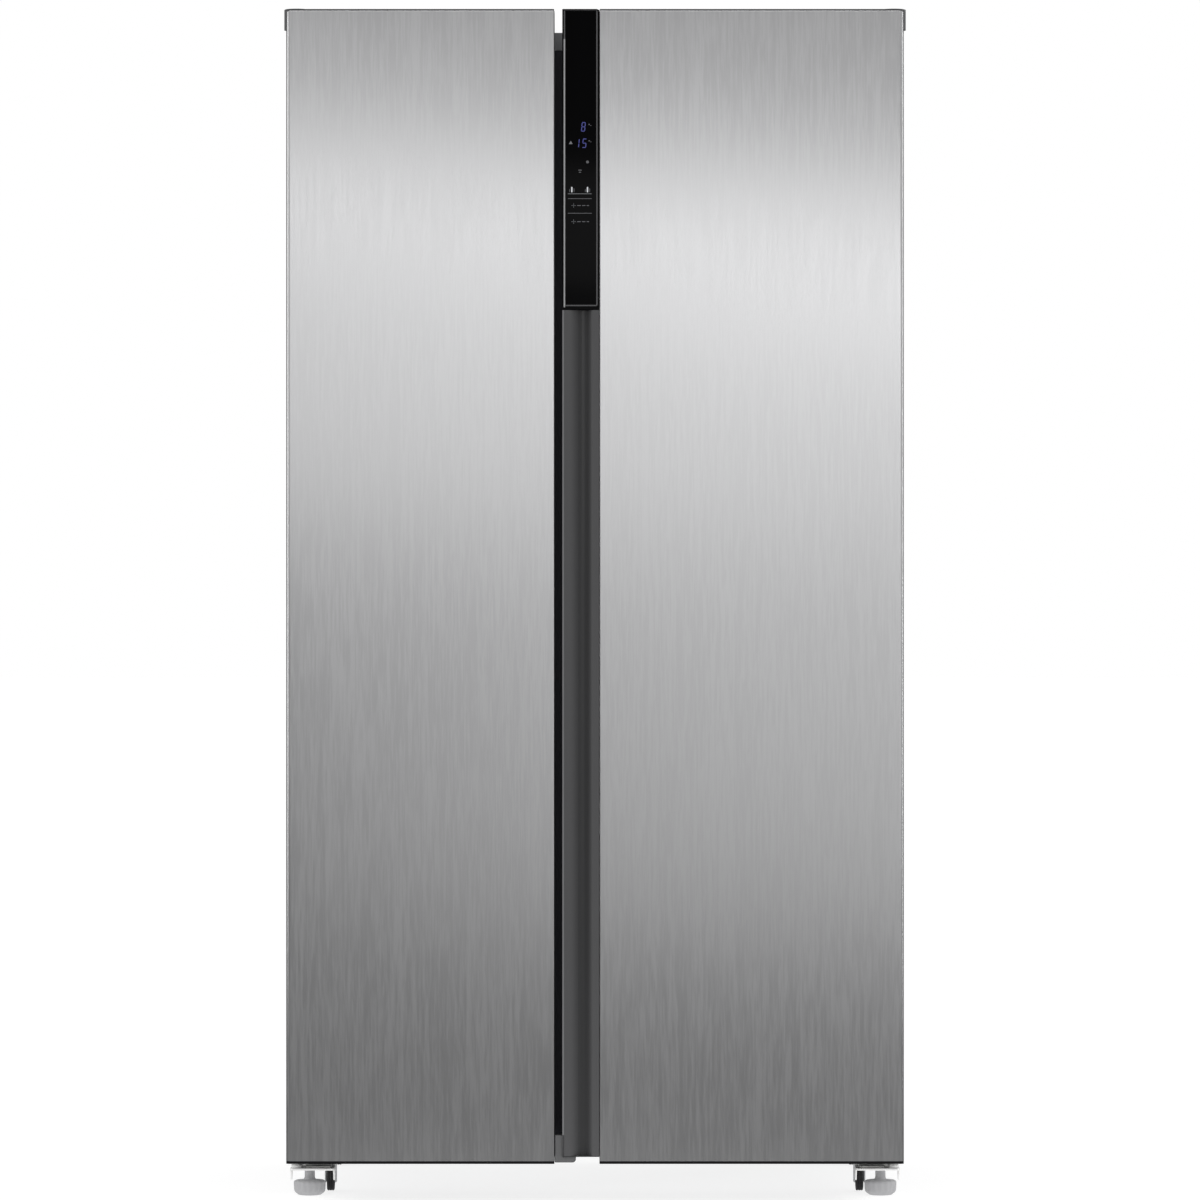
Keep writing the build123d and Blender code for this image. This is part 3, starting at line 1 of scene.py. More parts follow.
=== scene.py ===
# %% [markdown]
# # Side by side refrigerator
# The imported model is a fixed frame: every hinge, shelf and screw already has its place.
# This script dresses it. Surfaces are worked out with numpy from the frame's own boxes, and each finish
# is a material made of nodes. Everything is in metres, with +Z up and the doors facing -Y.

# %% Load the frame
import math

import bpy
import numpy as np
from mathutils import Matrix, Vector


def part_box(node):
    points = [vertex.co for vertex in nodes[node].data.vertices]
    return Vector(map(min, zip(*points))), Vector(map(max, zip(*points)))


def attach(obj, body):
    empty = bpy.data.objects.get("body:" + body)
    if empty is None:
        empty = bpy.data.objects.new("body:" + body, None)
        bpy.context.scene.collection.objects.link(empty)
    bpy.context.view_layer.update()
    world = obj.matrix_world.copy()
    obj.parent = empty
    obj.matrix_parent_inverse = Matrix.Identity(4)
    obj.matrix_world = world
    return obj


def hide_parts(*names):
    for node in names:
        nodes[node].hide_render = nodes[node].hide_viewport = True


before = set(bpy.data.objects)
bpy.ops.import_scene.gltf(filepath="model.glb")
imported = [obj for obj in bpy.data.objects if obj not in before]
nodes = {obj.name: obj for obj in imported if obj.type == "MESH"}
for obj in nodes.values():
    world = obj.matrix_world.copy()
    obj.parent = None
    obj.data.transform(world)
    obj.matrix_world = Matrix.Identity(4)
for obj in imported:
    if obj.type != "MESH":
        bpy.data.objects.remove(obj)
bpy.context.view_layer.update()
MM = 0.001


def mm(*sizes):
    """Sizes in millimetres as a tuple in metres."""
    return tuple(size * MM for size in sizes)


def box(name):
    """Lowest and highest corner of a CAD node as two arrays."""
    low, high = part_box(name)
    return np.array(low, float), np.array(high, float)


def levels(name):
    """Lower faces of the plates in a CAD node, as heights: its vertices' heights come in pairs."""
    mesh = nodes[name].data
    points = np.empty(len(mesh.vertices) * 3)
    mesh.vertices.foreach_get("co", points)
    heights = np.unique(np.round(points.reshape(-1, 3)[:, 2] / MM, 1))
    return heights[::2] * MM


# %% [markdown]
# ## Shapes from arrays
# A moulded or folded part is nearly always a closed outline carried along a line. The outline is an array of
# points, the line is a row of places with a little shrink at both ends, and the grid between them is the
# surface. Working on whole arrays keeps the seams exact and the script fast.

# %% Outlines
def arc(centre, radius, start, stop, steps):
    """Points at centre + radius * (cos a, sin a), with a running from start to stop in degrees."""
    angle = np.radians(np.linspace(start, stop, steps))
    return np.stack([centre[0] + radius * np.cos(angle), centre[1] + radius * np.sin(angle)], axis=1)


def round_rectangle(low, high, radii, steps=6):
    """Counter-clockwise rectangle whose four corners are quarter circles; radii start at the low corner."""
    (x0, y0), (x1, y1) = low, high
    r = np.maximum(np.broadcast_to(np.array(radii, float), 4), 1e-5)
    return np.concatenate([
        arc((x0 + r[0], y0 + r[0]), r[0], 180, 270, steps), arc((x1 - r[1], y0 + r[1]), r[1], 270, 360, steps),
        arc((x1 - r[2], y1 - r[2]), r[2], 0, 90, steps), arc((x0 + r[3], y1 - r[3]), r[3], 90, 180, steps)])


def notched(low, high, cut, corner):
    """Counter-clockwise rectangle with a rectangular notch at one corner, counted from the low one."""
    (x0, y0), (x1, y1) = low, high
    cx, cy = cut
    corners = [(x0, y0), (x1, y0), (x1, y1), (x0, y1)]
    steps = [[(x0, y0 + cy), (x0 + cx, y0 + cy), (x0 + cx, y0)], [(x1 - cx, y0), (x1 - cx, y0 + cy), (x1, y0 + cy)],
             [(x1, y1 - cy), (x1 - cx, y1 - cy), (x1 - cx, y1)], [(x0 + cx, y1), (x0 + cx, y1 - cy), (x0, y1 - cy)]]
    return np.array(corners[:corner] + steps[corner] + corners[corner + 1:], float)


def softened(corners, radius, steps=5):
    """Polygon whose corners A are replaced by curves (1-t)^2 P + 2t(1-t) A + t^2 Q, with P and Q a radius off."""
    corners = np.array(corners, float)
    radius = np.broadcast_to(np.array(radius, float), len(corners))[:, None]
    last, following = np.roll(corners, 1, axis=0) - corners, np.roll(corners, -1, axis=0) - corners
    start = corners + last / np.linalg.norm(last, axis=1, keepdims=True) * radius
    stop = corners + following / np.linalg.norm(following, axis=1, keepdims=True) * radius
    t = np.linspace(0, 1, steps)[None, :, None]
    return ((1 - t) ** 2 * start[:, None] + 2 * t * (1 - t) * corners[:, None] + t ** 2 * stop[:, None]).reshape(-1, 2)


def inset_loop(loop, distance):
    """Loop moved inwards along its own normals, which are the averaged turns of its two edges."""
    ahead = np.roll(loop, -1, axis=0) - loop
    behind = loop - np.roll(loop, 1, axis=0)
    ahead /= np.maximum(np.linalg.norm(ahead, axis=1, keepdims=True), 1e-9)
    behind /= np.maximum(np.linalg.norm(behind, axis=1, keepdims=True), 1e-9)
    normal = np.stack([-(ahead + behind)[:, 1], (ahead + behind)[:, 0]], axis=1)
    length = np.maximum(np.linalg.norm(normal, axis=1, keepdims=True), 1e-9)
    cosine = np.clip(length / 2, 0.35, 1)
    return loop + normal / length * distance / cosine


def inward_normals(path):
    """Unit vectors square to an open path, on its left: the slope turned by a quarter."""
    along = np.gradient(path, axis=0)
    along /= np.linalg.norm(along, axis=1, keepdims=True)
    return np.stack([-along[:, 1], along[:, 0]], axis=1)


def profile_mm(pairs, level):
    """Profile of (radius or inset, height) pairs in millimetres, with the heights counted from a level."""
    return np.array(pairs, float) * MM + (0, level)


def stations(start, stop, radius, steps=5):
    """Places along a line and how far the outline shrinks at each, so both ends roll off in quarter circles."""
    angle = np.radians(np.linspace(0, 90, steps))
    if radius <= 0:
        return np.array([start, stop]), np.array([0.0, 0.0])
    rise = radius * (1 - np.cos(angle))
    shrink = radius * (1 - np.sin(angle))
    return np.concatenate([start + rise, (stop - rise)[::-1]]), np.concatenate([shrink, shrink[::-1]])


def place(loop, level, axis):
    """Loop of (a, b) pairs laid square to an axis at a level: X takes (y, z), Y takes (z, x), Z takes (x, y)."""
    points = np.empty((len(loop), 3))
    points[:, axis] = level
    points[:, (axis + 1) % 3] = loop[:, 0]
    points[:, (axis + 2) % 3] = loop[:, 1]
    return points


# %% Grids to meshes
def grid_faces(rows, columns, wrap=True):
    """Quads of a grid of rows by columns; wrap joins the last column to the first."""
    last = columns if wrap else columns - 1
    i, j = np.meshgrid(np.arange(rows - 1), np.arange(last), indexing="ij")
    k = (j + 1) % columns
    return np.stack([i * columns + j, i * columns + k, (i + 1) * columns + k, (i + 1) * columns + j], -1).reshape(-1, 4)


def capped(rings, ends=True):
    """Rings of points, rows by columns, as one surface. The first and the last ring become its end faces."""
    rows, columns = rings.shape[:2]
    faces = grid_faces(rows, columns).tolist()
    if ends:
        faces += [list(range(columns))[::-1], list(range((rows - 1) * columns, rows * columns))]
    return rings.reshape(-1, 3), faces


def prism(loop, start, stop, axis, radius=0.0):
    """Outline carried along an axis, with rolled ends of a radius and both ends closed by one face."""
    return capped(np.stack([place(inset_loop(loop, shrink), level, axis)
                            for level, shrink in zip(*stations(start, stop, radius))]))


def slab(low, high, axis=2, corner=0.0, roll=0.0, steps=6):
    """Block between two corners: rounded outline square to the axis, rolled ends along it."""
    a, b = (axis + 1) % 3, (axis + 2) % 3
    loop = round_rectangle((low[a], low[b]), (high[a], high[b]), corner, steps)
    return prism(loop, low[axis], high[axis], axis, roll)


def spun(profile, centre, axis=2, steps=48):
    """Profile of (radius, level) pairs turned about an axis, with a flat face over each end."""
    angle = np.linspace(0, 2 * np.pi, steps, endpoint=False)
    profile = np.array(profile, float)
    ring = np.empty((len(profile), steps, 3))
    ring[..., axis] = profile[:, 1][:, None] + centre[axis]
    ring[..., (axis + 1) % 3] = profile[:, 0][:, None] * np.cos(angle) + centre[(axis + 1) % 3]
    ring[..., (axis + 2) % 3] = profile[:, 0][:, None] * np.sin(angle) + centre[(axis + 2) % 3]
    return capped(ring)


def ringed(low, high, radii, profile, axis=2, steps=6, wrap=False, ends=True):
    """Rounded rectangle square to an axis, drawn once for each (inset, level) pair of a profile. Wrap joins the
    last ring to the first, as on a frame moulding."""
    low, high = np.array(low, float), np.array(high, float)
    radii = np.broadcast_to(np.array(radii, float), 4)
    rings = np.stack([place(round_rectangle(low + inset, high - inset, np.maximum(radii - inset, 0.0004), steps),
                            level, axis) for inset, level in profile])
    if wrap:
        rings = np.concatenate([rings, rings[:1]])
    return capped(rings, ends and not wrap)


def bend(centre, radius, start, stop, steps=5):
    """Quarter turns of a profile as a list of (inset, level) pairs."""
    return [tuple(pair) for pair in arc(centre, radius, start, stop, steps)]


def mirrored(shape):
    """The same shape on the other side of X = 0, with its faces turned round so that they still look out."""
    vertices, faces = shape
    return np.asarray(vertices) * (-1, 1, 1), [face[::-1] for face in faces]


def joined(parts):
    """Several (vertices, faces) pairs as one."""
    vertices, faces, count = [], [], 0
    for points, polygons in parts:
        vertices.append(points)
        faces += [[index + count for index in face] for face in polygons]
        count += len(points)
    return np.concatenate(vertices), faces


# %% [markdown]
# ## Pieces
# A piece is a mesh whose place is in its vertices, with a material and the body that it moves with. Sharp
# folds stay sharp and round ones are smooth, which is set by the angle between faces.

# %% Piece helper
collection = bpy.context.scene.collection
CREASE = 32  # degrees between two faces, from which their edge stays sharp


def piece(name, shape, body, material, replaces=(), angle=CREASE, wall=0.0, merge=False):
    """Makes a mesh object of (vertices, faces), dresses it and lets it ride on a body. A wall thickens an
    open sheet away from its faces' front, and weighted normals keep the large faces flat next to round edges."""
    vertices, faces = shape
    mesh = bpy.data.meshes.new(name)
    mesh.from_pydata(np.asarray(vertices, float).tolist(), [], faces)
    mesh.validate()
    mesh.shade_smooth()
    mesh.set_sharp_from_angle(angle=math.radians(angle))
    obj = bpy.data.objects.new(name, mesh)
    collection.objects.link(obj)
    obj.data.materials.append(material)
    if merge:
        weld = obj.modifiers.new("weld", "WELD")
        weld.merge_threshold = 0.00005
    if wall:
        thick = obj.modifiers.new("wall", "SOLIDIFY")
        thick.thickness = wall
        thick.offset = -1
    weigh = obj.modifiers.new("weigh", "WEIGHTED_NORMAL")
    weigh.keep_sharp = True
    weigh.weight = 80
    if replaces:
        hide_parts(*replaces)
    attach(obj, body)
    return obj


# %% [markdown]
# ## Shader groups
# Effects that several finishes share are node groups: drawn grain, mottling, moulded texture, dust, painted shade
# that deepens in a groove and a painted dark reflection on folded sides. Each gives a value or a normal, and the
# material puts it into its own shader.

# %% Node helpers
def group_tree(name, inputs, outputs):
    """Empty shader node group with named value inputs and outputs; returns it with its two end nodes."""
    tree = bpy.data.node_groups.new(name, "ShaderNodeTree")
    for label, default in inputs:
        socket = tree.interface.new_socket(label, in_out="INPUT", socket_type="NodeSocketFloat")
        socket.default_value = default
    for label, kind in outputs:
        tree.interface.new_socket(label, in_out="OUTPUT", socket_type=kind)
    return tree, tree.nodes.new("NodeGroupInput"), tree.nodes.new("NodeGroupOutput")


def math_node(tree, operation, first, second=None):
    """Math node on sockets or plain numbers; returns its output."""
    node = tree.nodes.new("ShaderNodeMath")
    node.operation = operation
    for socket, value in zip(node.inputs, (first, second)):
        if value is None:
            continue
        if isinstance(value, (int, float)):
            socket.default_value = value
        else:
            tree.links.new(value, socket)
    return node.outputs[0]


def noise_value(tree, scale_xyz, scale, detail=3.0, rough=0.55):
    """Noise on Object coordinates that a Mapping node has stretched; returns the value."""
    place_node = tree.nodes.new("ShaderNodeTexCoord")
    mapping = tree.nodes.new("ShaderNodeMapping")
    mapping.inputs["Scale"].default_value = scale_xyz
    noise = tree.nodes.new("ShaderNodeTexNoise")
    noise.inputs["Detail"].default_value = detail
    noise.inputs["Roughness"].default_value = rough
    tree.links.new(place_node.outputs["Object"], mapping.inputs["Vector"])
    tree.links.new(mapping.outputs["Vector"], noise.inputs["Vector"])
    if isinstance(scale, (int, float)):
        noise.inputs["Scale"].default_value = scale
    else:
        tree.links.new(scale, noise.inputs["Scale"])
    return noise.outputs["Fac"]


def centred(tree, value, amount):
    """(value - 0.5) * amount."""
    return math_node(tree, "MULTIPLY", math_node(tree, "SUBTRACT", value, 0.5), amount)


def clamped(tree, value, low, high):
    """Value kept between low and high."""
    return math_node(tree, "MINIMUM", math_node(tree, "MAXIMUM", value, low), high)


def axes_of(tree, source, output):
    """X, Y and Z outputs of a source node's vector."""
    where = tree.nodes.new(source)
    split = tree.nodes.new("ShaderNodeSeparateXYZ")
    tree.links.new(where.outputs[output], split.inputs[0])
    return split.outputs


# %% Groups for grain, mottling, texture, dust and painted shade
def grain_group():
    """Upright drawn grain: streaks at three widths, each sixteen to twenty times as long as wide, added by their
    shares and kept between 0.42 and 0.60. Out come a value about 0 and a height."""
    tree, start, end = group_tree("grain_upright", [("Amount", 0.1), ("Fineness", 330.0)],
                                  [("Shade", "NodeSocketFloat"), ("Height", "NodeSocketFloat")])
    layers = []
    for across, upright, share in ((1.0, 0.050, 0.52), (0.22, 0.012, 0.20), (2.6, 0.16, 0.28)):
        streaks = noise_value(tree, (across, across, upright), start.outputs["Fineness"], detail=1.0)
        layers.append(math_node(tree, "MULTIPLY", streaks, share))
    streaks = math_node(tree, "ADD", math_node(tree, "ADD", layers[0], layers[1]), layers[2])
    streaks = clamped(tree, streaks, 0.42, 0.60)
    tree.links.new(centred(tree, streaks, start.outputs["Amount"]), end.inputs["Shade"])
    tree.links.new(streaks, end.inputs["Height"])
    return tree


def mottle_group():
    """Slow cloudy change over the surface, about 0."""
    tree, start, end = group_tree("mottle", [("Amount", 0.05), ("Scale", 3.0)], [("Shade", "NodeSocketFloat")])
    cloud = noise_value(tree, (1, 1, 1), start.outputs["Scale"], 3.0)
    tree.links.new(centred(tree, cloud, start.outputs["Amount"]), end.inputs["Shade"])
    return tree


def stipple_group():
    """Fine even bumps of moulded plastic or powder paint, as a height and a shade."""
    tree, start, end = group_tree("stipple", [("Amount", 0.1), ("Scale", 1500.0)],
                                  [("Shade", "NodeSocketFloat"), ("Height", "NodeSocketFloat")])
    bumps = noise_value(tree, (1, 1, 1), start.outputs["Scale"], 1.5, 0.4)
    tree.links.new(centred(tree, bumps, start.outputs["Amount"]), end.inputs["Shade"])
    tree.links.new(bumps, end.inputs["Height"])
    return tree


def dust_group():
    """Dust on faces that look up: the normal's Z, sharpened, times a cloud."""
    tree, start, end = group_tree("dust", [("Amount", 0.3)], [("Mask", "NodeSocketFloat")])
    slope = axes_of(tree, "ShaderNodeNewGeometry", "Normal")
    up = math_node(tree, "POWER", math_node(tree, "MAXIMUM", slope["Z"], 0.0), 6.0)
    cloud = noise_value(tree, (1, 1, 1), 14.0, 5.0)
    mask = math_node(tree, "MULTIPLY", math_node(tree, "MULTIPLY", up, cloud), start.outputs["Amount"])
    tree.links.new(mask, end.inputs["Mask"])
    return tree


def painted_groove_shade_group():
    """Painted shade that darkens with depth behind a plane, as in the bottom of a groove: (y - Start) / Depth, kept
    between 0 and 1, times minus the amount.
    """
    tree, start, end = group_tree("painted_groove_shade", [("Amount", 0.4), ("Start", 0.0), ("Depth", 0.01)],
                                  [("Shade", "NodeSocketFloat")])
    where = axes_of(tree, "ShaderNodeTexCoord", "Object")
    behind = math_node(tree, "SUBTRACT", where["Y"], start.outputs["Start"])
    share = clamped(tree, math_node(tree, "DIVIDE", behind, start.outputs["Depth"]), 0.0, 1.0)
    darker = math_node(tree, "MULTIPLY", start.outputs["Amount"], -1.0)
    tree.links.new(math_node(tree, "MULTIPLY", share, darker), end.inputs["Shade"])
    return tree


def painted_dark_sides_group():
    """Painted dark reflection where a sheet is folded round to the side: a factor 1 - Amount * (8 * (|normal X| -
    0.72), kept between 0 and 1), in the object's own axes."""
    tree, start, end = group_tree("painted_dark_folds", [("Amount", 0.4)], [("Shade", "NodeSocketFloat")])
    slope = axes_of(tree, "ShaderNodeTexCoord", "Normal")
    steep = math_node(tree, "SUBTRACT", math_node(tree, "ABSOLUTE", slope["X"]), 0.72)
    steep = clamped(tree, math_node(tree, "MULTIPLY", steep, 8.0), 0.0, 1.0)
    dark = math_node(tree, "MULTIPLY", steep, start.outputs["Amount"])
    tree.links.new(math_node(tree, "SUBTRACT", 1.0, dark), end.inputs["Shade"])
    return tree


GRAIN_UP = grain_group()
PAINTED_GROOVE_SHADE = painted_groove_shade_group()
PAINTED_DARK_SIDES = painted_dark_sides_group()
MOTTLE = mottle_group()
STIPPLE = stipple_group()
DUST = dust_group()


# %% [markdown]
# ## Materials
# One function builds every finish: a base colour that the groups shade a little, a roughness that varies with
# the same values, and a bump from the grain or the stipple. Numbers that are the same all over are set on
# the shader itself.

# %% Finish helper
DUST_COLOR = (0.42, 0.40, 0.37, 1.0)
BUMP_HEIGHT = 0.0002


def finish(name, color, roughness, metallic=0.0, grain=None, mottle=(0.06, 3.0), stipple=None, dust=0.0,
           bump=0.0, painted_shade=None, sides=0.0, **plain):
    """Principled material: base colour times (1 + the groups' shades, painted groove shade among them) and times
    the painted dark sides, roughness plus half of the shades, and a bump. Where reflections stretch, their
    tangent lies level: the normal crossed with the upright."""
    material = bpy.data.materials.new(name)
    material.use_nodes = True
    tree = material.node_tree
    shader = tree.nodes["Principled BSDF"]

    def use(group, *values):
        """Adds a group node, sets its inputs in their order and returns its outputs."""
        node = tree.nodes.new("ShaderNodeGroup")
        node.node_tree = group
        for socket, value in zip(node.inputs, values):
            socket.default_value = value
        return node.outputs

    shade, height = use(MOTTLE, *mottle)["Shade"], None
    for group, values in ((GRAIN_UP, grain), (STIPPLE, stipple), (PAINTED_GROOVE_SHADE, painted_shade)):
        if values:
            effect = use(group, *values)
            shade = math_node(tree, "ADD", shade, effect["Shade"])
            height = effect.get("Height", height)
    lift = math_node(tree, "ADD", shade, 1.0)
    if sides:
        lift = math_node(tree, "MULTIPLY", lift, use(PAINTED_DARK_SIDES, sides)["Shade"])
    tint = tree.nodes.new("ShaderNodeMix")
    tint.data_type = "RGBA"
    tint.blend_type = "MULTIPLY"
    tint.inputs["Factor"].default_value = 1.0
    tint.inputs[6].default_value = (*color, 1.0)
    grey = tree.nodes.new("ShaderNodeCombineColor")
    for socket in grey.inputs:
        tree.links.new(lift, socket)
    tree.links.new(grey.outputs[0], tint.inputs[7])
    colour_out = tint.outputs[2]
    if dust:
        cover = tree.nodes.new("ShaderNodeMix")
        cover.data_type = "RGBA"
        cover.inputs[7].default_value = DUST_COLOR
        tree.links.new(use(DUST, dust)["Mask"], cover.inputs["Factor"])
        tree.links.new(colour_out, cover.inputs[6])
        colour_out = cover.outputs[2]
    tree.links.new(colour_out, shader.inputs["Base Color"])
    uneven = math_node(tree, "ADD", math_node(tree, "MULTIPLY", shade, 0.5), roughness)
    tree.links.new(uneven, shader.inputs["Roughness"])
    shader.inputs["Metallic"].default_value = metallic
    if bump and height is not None:
        relief = tree.nodes.new("ShaderNodeBump")
        relief.inputs["Strength"].default_value = bump
        relief.inputs["Distance"].default_value = BUMP_HEIGHT
        tree.links.new(height, relief.inputs["Height"])
        tree.links.new(relief.outputs["Normal"], shader.inputs["Normal"])
    if "Anisotropic" in plain:
        shape = tree.nodes.new("ShaderNodeNewGeometry")
        across = tree.nodes.new("ShaderNodeVectorMath")
        across.operation = "CROSS_PRODUCT"
        across.inputs[1].default_value = (0, 0, 1)
        tree.links.new(shape.outputs["Normal"], across.inputs[0])
        tree.links.new(across.outputs[0], shader.inputs["Tangent"])
    for label, value in plain.items():
        shader.inputs[label.replace("_", " ")].default_value = value
    return material


# %% Finishes of this refrigerator
DULL = {"Specular_IOR_Level": 0.1}
PAINTED = {"stipple": (0.05, 900.0)}
MOULDED = {"stipple": (0.06, 2200.0), "bump": 0.10}
SATIN = {"stipple": (0.04, 2200.0), "bump": 0.05}
GRAINED = (0.08, 1800.0)


def sign(name, color, glow, strength):
    """Lit sign on the display: a dark cover that glows in a colour."""
    return finish(name, color, 0.4, mottle=(0.05, 60.0), Emission_Color=(*glow, 1.0), Emission_Strength=strength)


# sides=0.62 paints a dark reflection on the steel where the sheet turns round to the door's sides.
STEEL = finish("brushed_stainless", (0.311, 0.311, 0.315), 0.30, 1.0, grain=(0.50, 300.0), mottle=(0.04, 1.6),
               bump=0.005, sides=0.62, Anisotropic=0.7, Specular_Tint=(0.4, 0.4, 0.4, 1.0))
SHELL_PAINT = finish("grey_shell_paint", (0.21, 0.212, 0.22), 0.42, 0.2, **PAINTED, bump=0.12, dust=0.25)
FRAME_PAINT = finish("dark_front_paint", (0.045, 0.046, 0.055), 0.5, **PAINTED, bump=0.08, Specular_IOR_Level=0.15)
GALVANISED = finish("galvanised_sheet", (0.56, 0.57, 0.58), 0.42, 0.65, mottle=(0.16, 28.0), dust=0.15)
ZINC = finish("zinc_plate", (0.62, 0.62, 0.60), 0.32, 1.0, mottle=(0.12, 20.0))
# Zinc plate made near white and matt so that the brackets stay bright in the shade under the doors: partly painted
# light.
LIT_ZINC = finish("painted_light_zinc_plate", (0.86, 0.86, 0.85), 0.35, 0.15, mottle=(0.05, 30.0))
ENAMEL = finish("black_enamel", (0.012, 0.012, 0.013), 0.28, mottle=(0.2, 6.0), dust=0.4)
COPPER = finish("dull_copper", (0.60, 0.30, 0.19), 0.35, 1.0, mottle=(0.25, 12.0))
ALUMINIUM = finish("fin_aluminium", (0.72, 0.73, 0.75), 0.36, 1.0, mottle=(0.08, 14.0))
WHITE = finish("white_liner", (0.80, 0.815, 0.83), 0.30, mottle=(0.015, 2.0))
TRIM = finish("dark_grey_trim", (0.105, 0.105, 0.107), 0.42, **MOULDED, **DULL)
# Trough plastic with painted shade: its colour darkens with depth behind the door's front, by up to 46 % at 10 mm.
TROUGH = finish("trough_plastic_painted_shade", (0.074, 0.074, 0.076), 0.42, **MOULDED, **DULL,
                painted_shade=(0.46, box("freezer_door_skin")[0][1], 10.0 * MM))
CAP = finish("cap_plastic", (0.035, 0.036, 0.038), 0.48, stipple=GRAINED, bump=0.15)
SILVER = finish("silver_trim", (0.55, 0.56, 0.57), 0.30, 0.6, **SATIN)
BLACK = finish("black_moulding", (0.012, 0.012, 0.013), 0.45, stipple=GRAINED, bump=0.12)
FOOT = finish("grey_foot_plastic", (0.35, 0.35, 0.36), 0.5, stipple=(0.08, 1200.0), bump=0.2)
SMOKED = finish("smoked_glass", (0.0010, 0.0010, 0.0012), 0.08, mottle=(0.02, 3.0), Specular_IOR_Level=0.02)
RUBBER = finish("seal_rubber", (0.16, 0.16, 0.17), 0.62, stipple=(0.10, 1500.0), bump=0.15)
FOAM = finish("rigid_foam", (0.75, 0.66, 0.42), 0.9, mottle=(0.2, 60.0))
BOARD = finish("circuit_board", (0.03, 0.16, 0.08), 0.4, mottle=(0.1, 30.0))
LAMP = finish("lamp_cover", (0.92, 0.93, 0.95), 0.35, stipple=(0.02, 900.0), bump=0.1,
              Emission_Color=(1.0, 0.98, 0.95, 1.0), Emission_Strength=3.0)
# Lighter strips down the left edges of the handle strip and the end block: painted highlights.
EDGE_HIGHLIGHT = finish("painted_edge_highlight", (0.155, 0.155, 0.16), 0.35, **SATIN, **DULL)
# Lighter line down the display's left side: a painted highlight.
BRIGHT_HIGHLIGHT = finish("painted_bright_highlight", (0.30, 0.30, 0.305), 0.35, **SATIN, **DULL)
# The cap plastic made near black for the doors' lower ends: painted shade.
SHADED_DOOR_END = finish("painted_shade_door_end", (0.004, 0.004, 0.0045), 0.5, stipple=GRAINED, bump=0.10, **DULL)
# Dark grey ring on the display glass: a painted highlight of the glass's edge.
RIM_HIGHLIGHT = finish("painted_rim_highlight", (0.085, 0.085, 0.088), 0.35, **SATIN, **DULL)
PIANO = finish("piano_black", (0.0016, 0.0016, 0.0018), 0.2, mottle=(0.03, 20.0), Specular_IOR_Level=0.02)
BLOCK = finish("block_plastic", (0.095, 0.096, 0.098), 0.42, **MOULDED)
BLUE_SIGN = sign("blue_sign", (0.01, 0.012, 0.10), (0.07, 0.09, 0.52), 0.22)
WHITE_SIGN = sign("white_sign", (0.25, 0.25, 0.26), (0.9, 0.95, 1.0), 0.35)
MID_SIGN = sign("mid_sign", (0.06, 0.06, 0.065), (0.9, 0.95, 1.0), 0.075)
DIM_SIGN = sign("dim_sign", (0.04, 0.04, 0.045), (0.9, 0.95, 1.0), 0.03)
GLASS = finish("shelf_glass", (0.90, 0.97, 0.95), 0.04, mottle=(0.01, 4.0), Transmission_Weight=1.0, IOR=1.5)
CLEAR = finish("clear_drawer_plastic", (0.93, 0.96, 0.98), 0.08, mottle=(0.015, 5.0), Transmission_Weight=0.92,
               IOR=1.46)
print("materials", len(bpy.data.materials))

# %% Dress the CAD nodes that stay as they are
DRESS = {
    STEEL: ["freezer_door_skin", "fridge_door_skin"],
    SHELL_PAINT: ["cabinet_shell"],
    FRAME_PAINT: ["front_frame", "mullion_strip"],
    GALVANISED: ["back_panel", "base_pan", "roller_brackets", "condenser_fan_motor", "rear_cover", "control_cover",
                 "evaporator_fan_motor"],
    ZINC: ["top_hinges", "bottom_hinges", "hinge_screws"],
    ENAMEL: ["compressor", "condenser_coil"],
    COPPER: ["refrigerant_pipes"],
    ALUMINIUM: ["evaporator"],
    WHITE: ["freezer_liner", "fridge_liner", "freezer_duct_cover", "fridge_duct_cover", "freezer_door_liner",
            "fridge_door_liner"],
    TRIM: ["handle_strip", "freezer_door_grip"],
    CAP: ["hinge_covers", "freezer_door_caps", "fridge_door_caps"],
    SILVER: ["shelf_trims"],
    BLACK: ["condenser_fan", "evaporator_fan", "drain_pan", "cord_gland", "display_housing", "front_roller_left",
            "front_roller_right", "rear_roller_left", "rear_roller_right"],
    FOOT: ["levelling_foot_left", "levelling_foot_right"],
    SMOKED: ["display_panel"],
    RUBBER: ["freezer_door_gasket", "fridge_door_gasket", "compressor_grommets"],
    FOAM: ["freezer_foam", "fridge_foam", "freezer_door_foam", "fridge_door_foam"],
    BOARD: ["control_board"],
    LAMP: ["interior_lights"],
    GLASS: ["freezer_shelves", "fridge_shelves"],
    CLEAR: ["freezer_door_bins", "fridge_door_bins", "freezer_drawer_lower", "freezer_drawer_upper",
            "crisper_drawer_lower", "crisper_drawer_upper"],
}
for material, names in DRESS.items():
    for name in names:
        mesh = nodes[name].data
        mesh.materials.clear()
        mesh.materials.append(material)
        mesh.shade_smooth()
        mesh.set_sharp_from_angle(angle=math.radians(CREASE))
print("dressed", sum(len(names) for names in DRESS.values()), "of", len(nodes))

# %% [markdown]
# ## Door skins
# A refrigerator door's front is one sheet of drawn stainless steel. A press folds it back over both sides and
# curls its upper and lower ends in under the plastic caps. A block with rounded edges would look the same
# from the front only, so the skin is built as the sheet itself: the outline seen from above is a path, the path
# is carried up the door, its ends curl inwards, and a Solidify modifier gives the sheet its thickness.

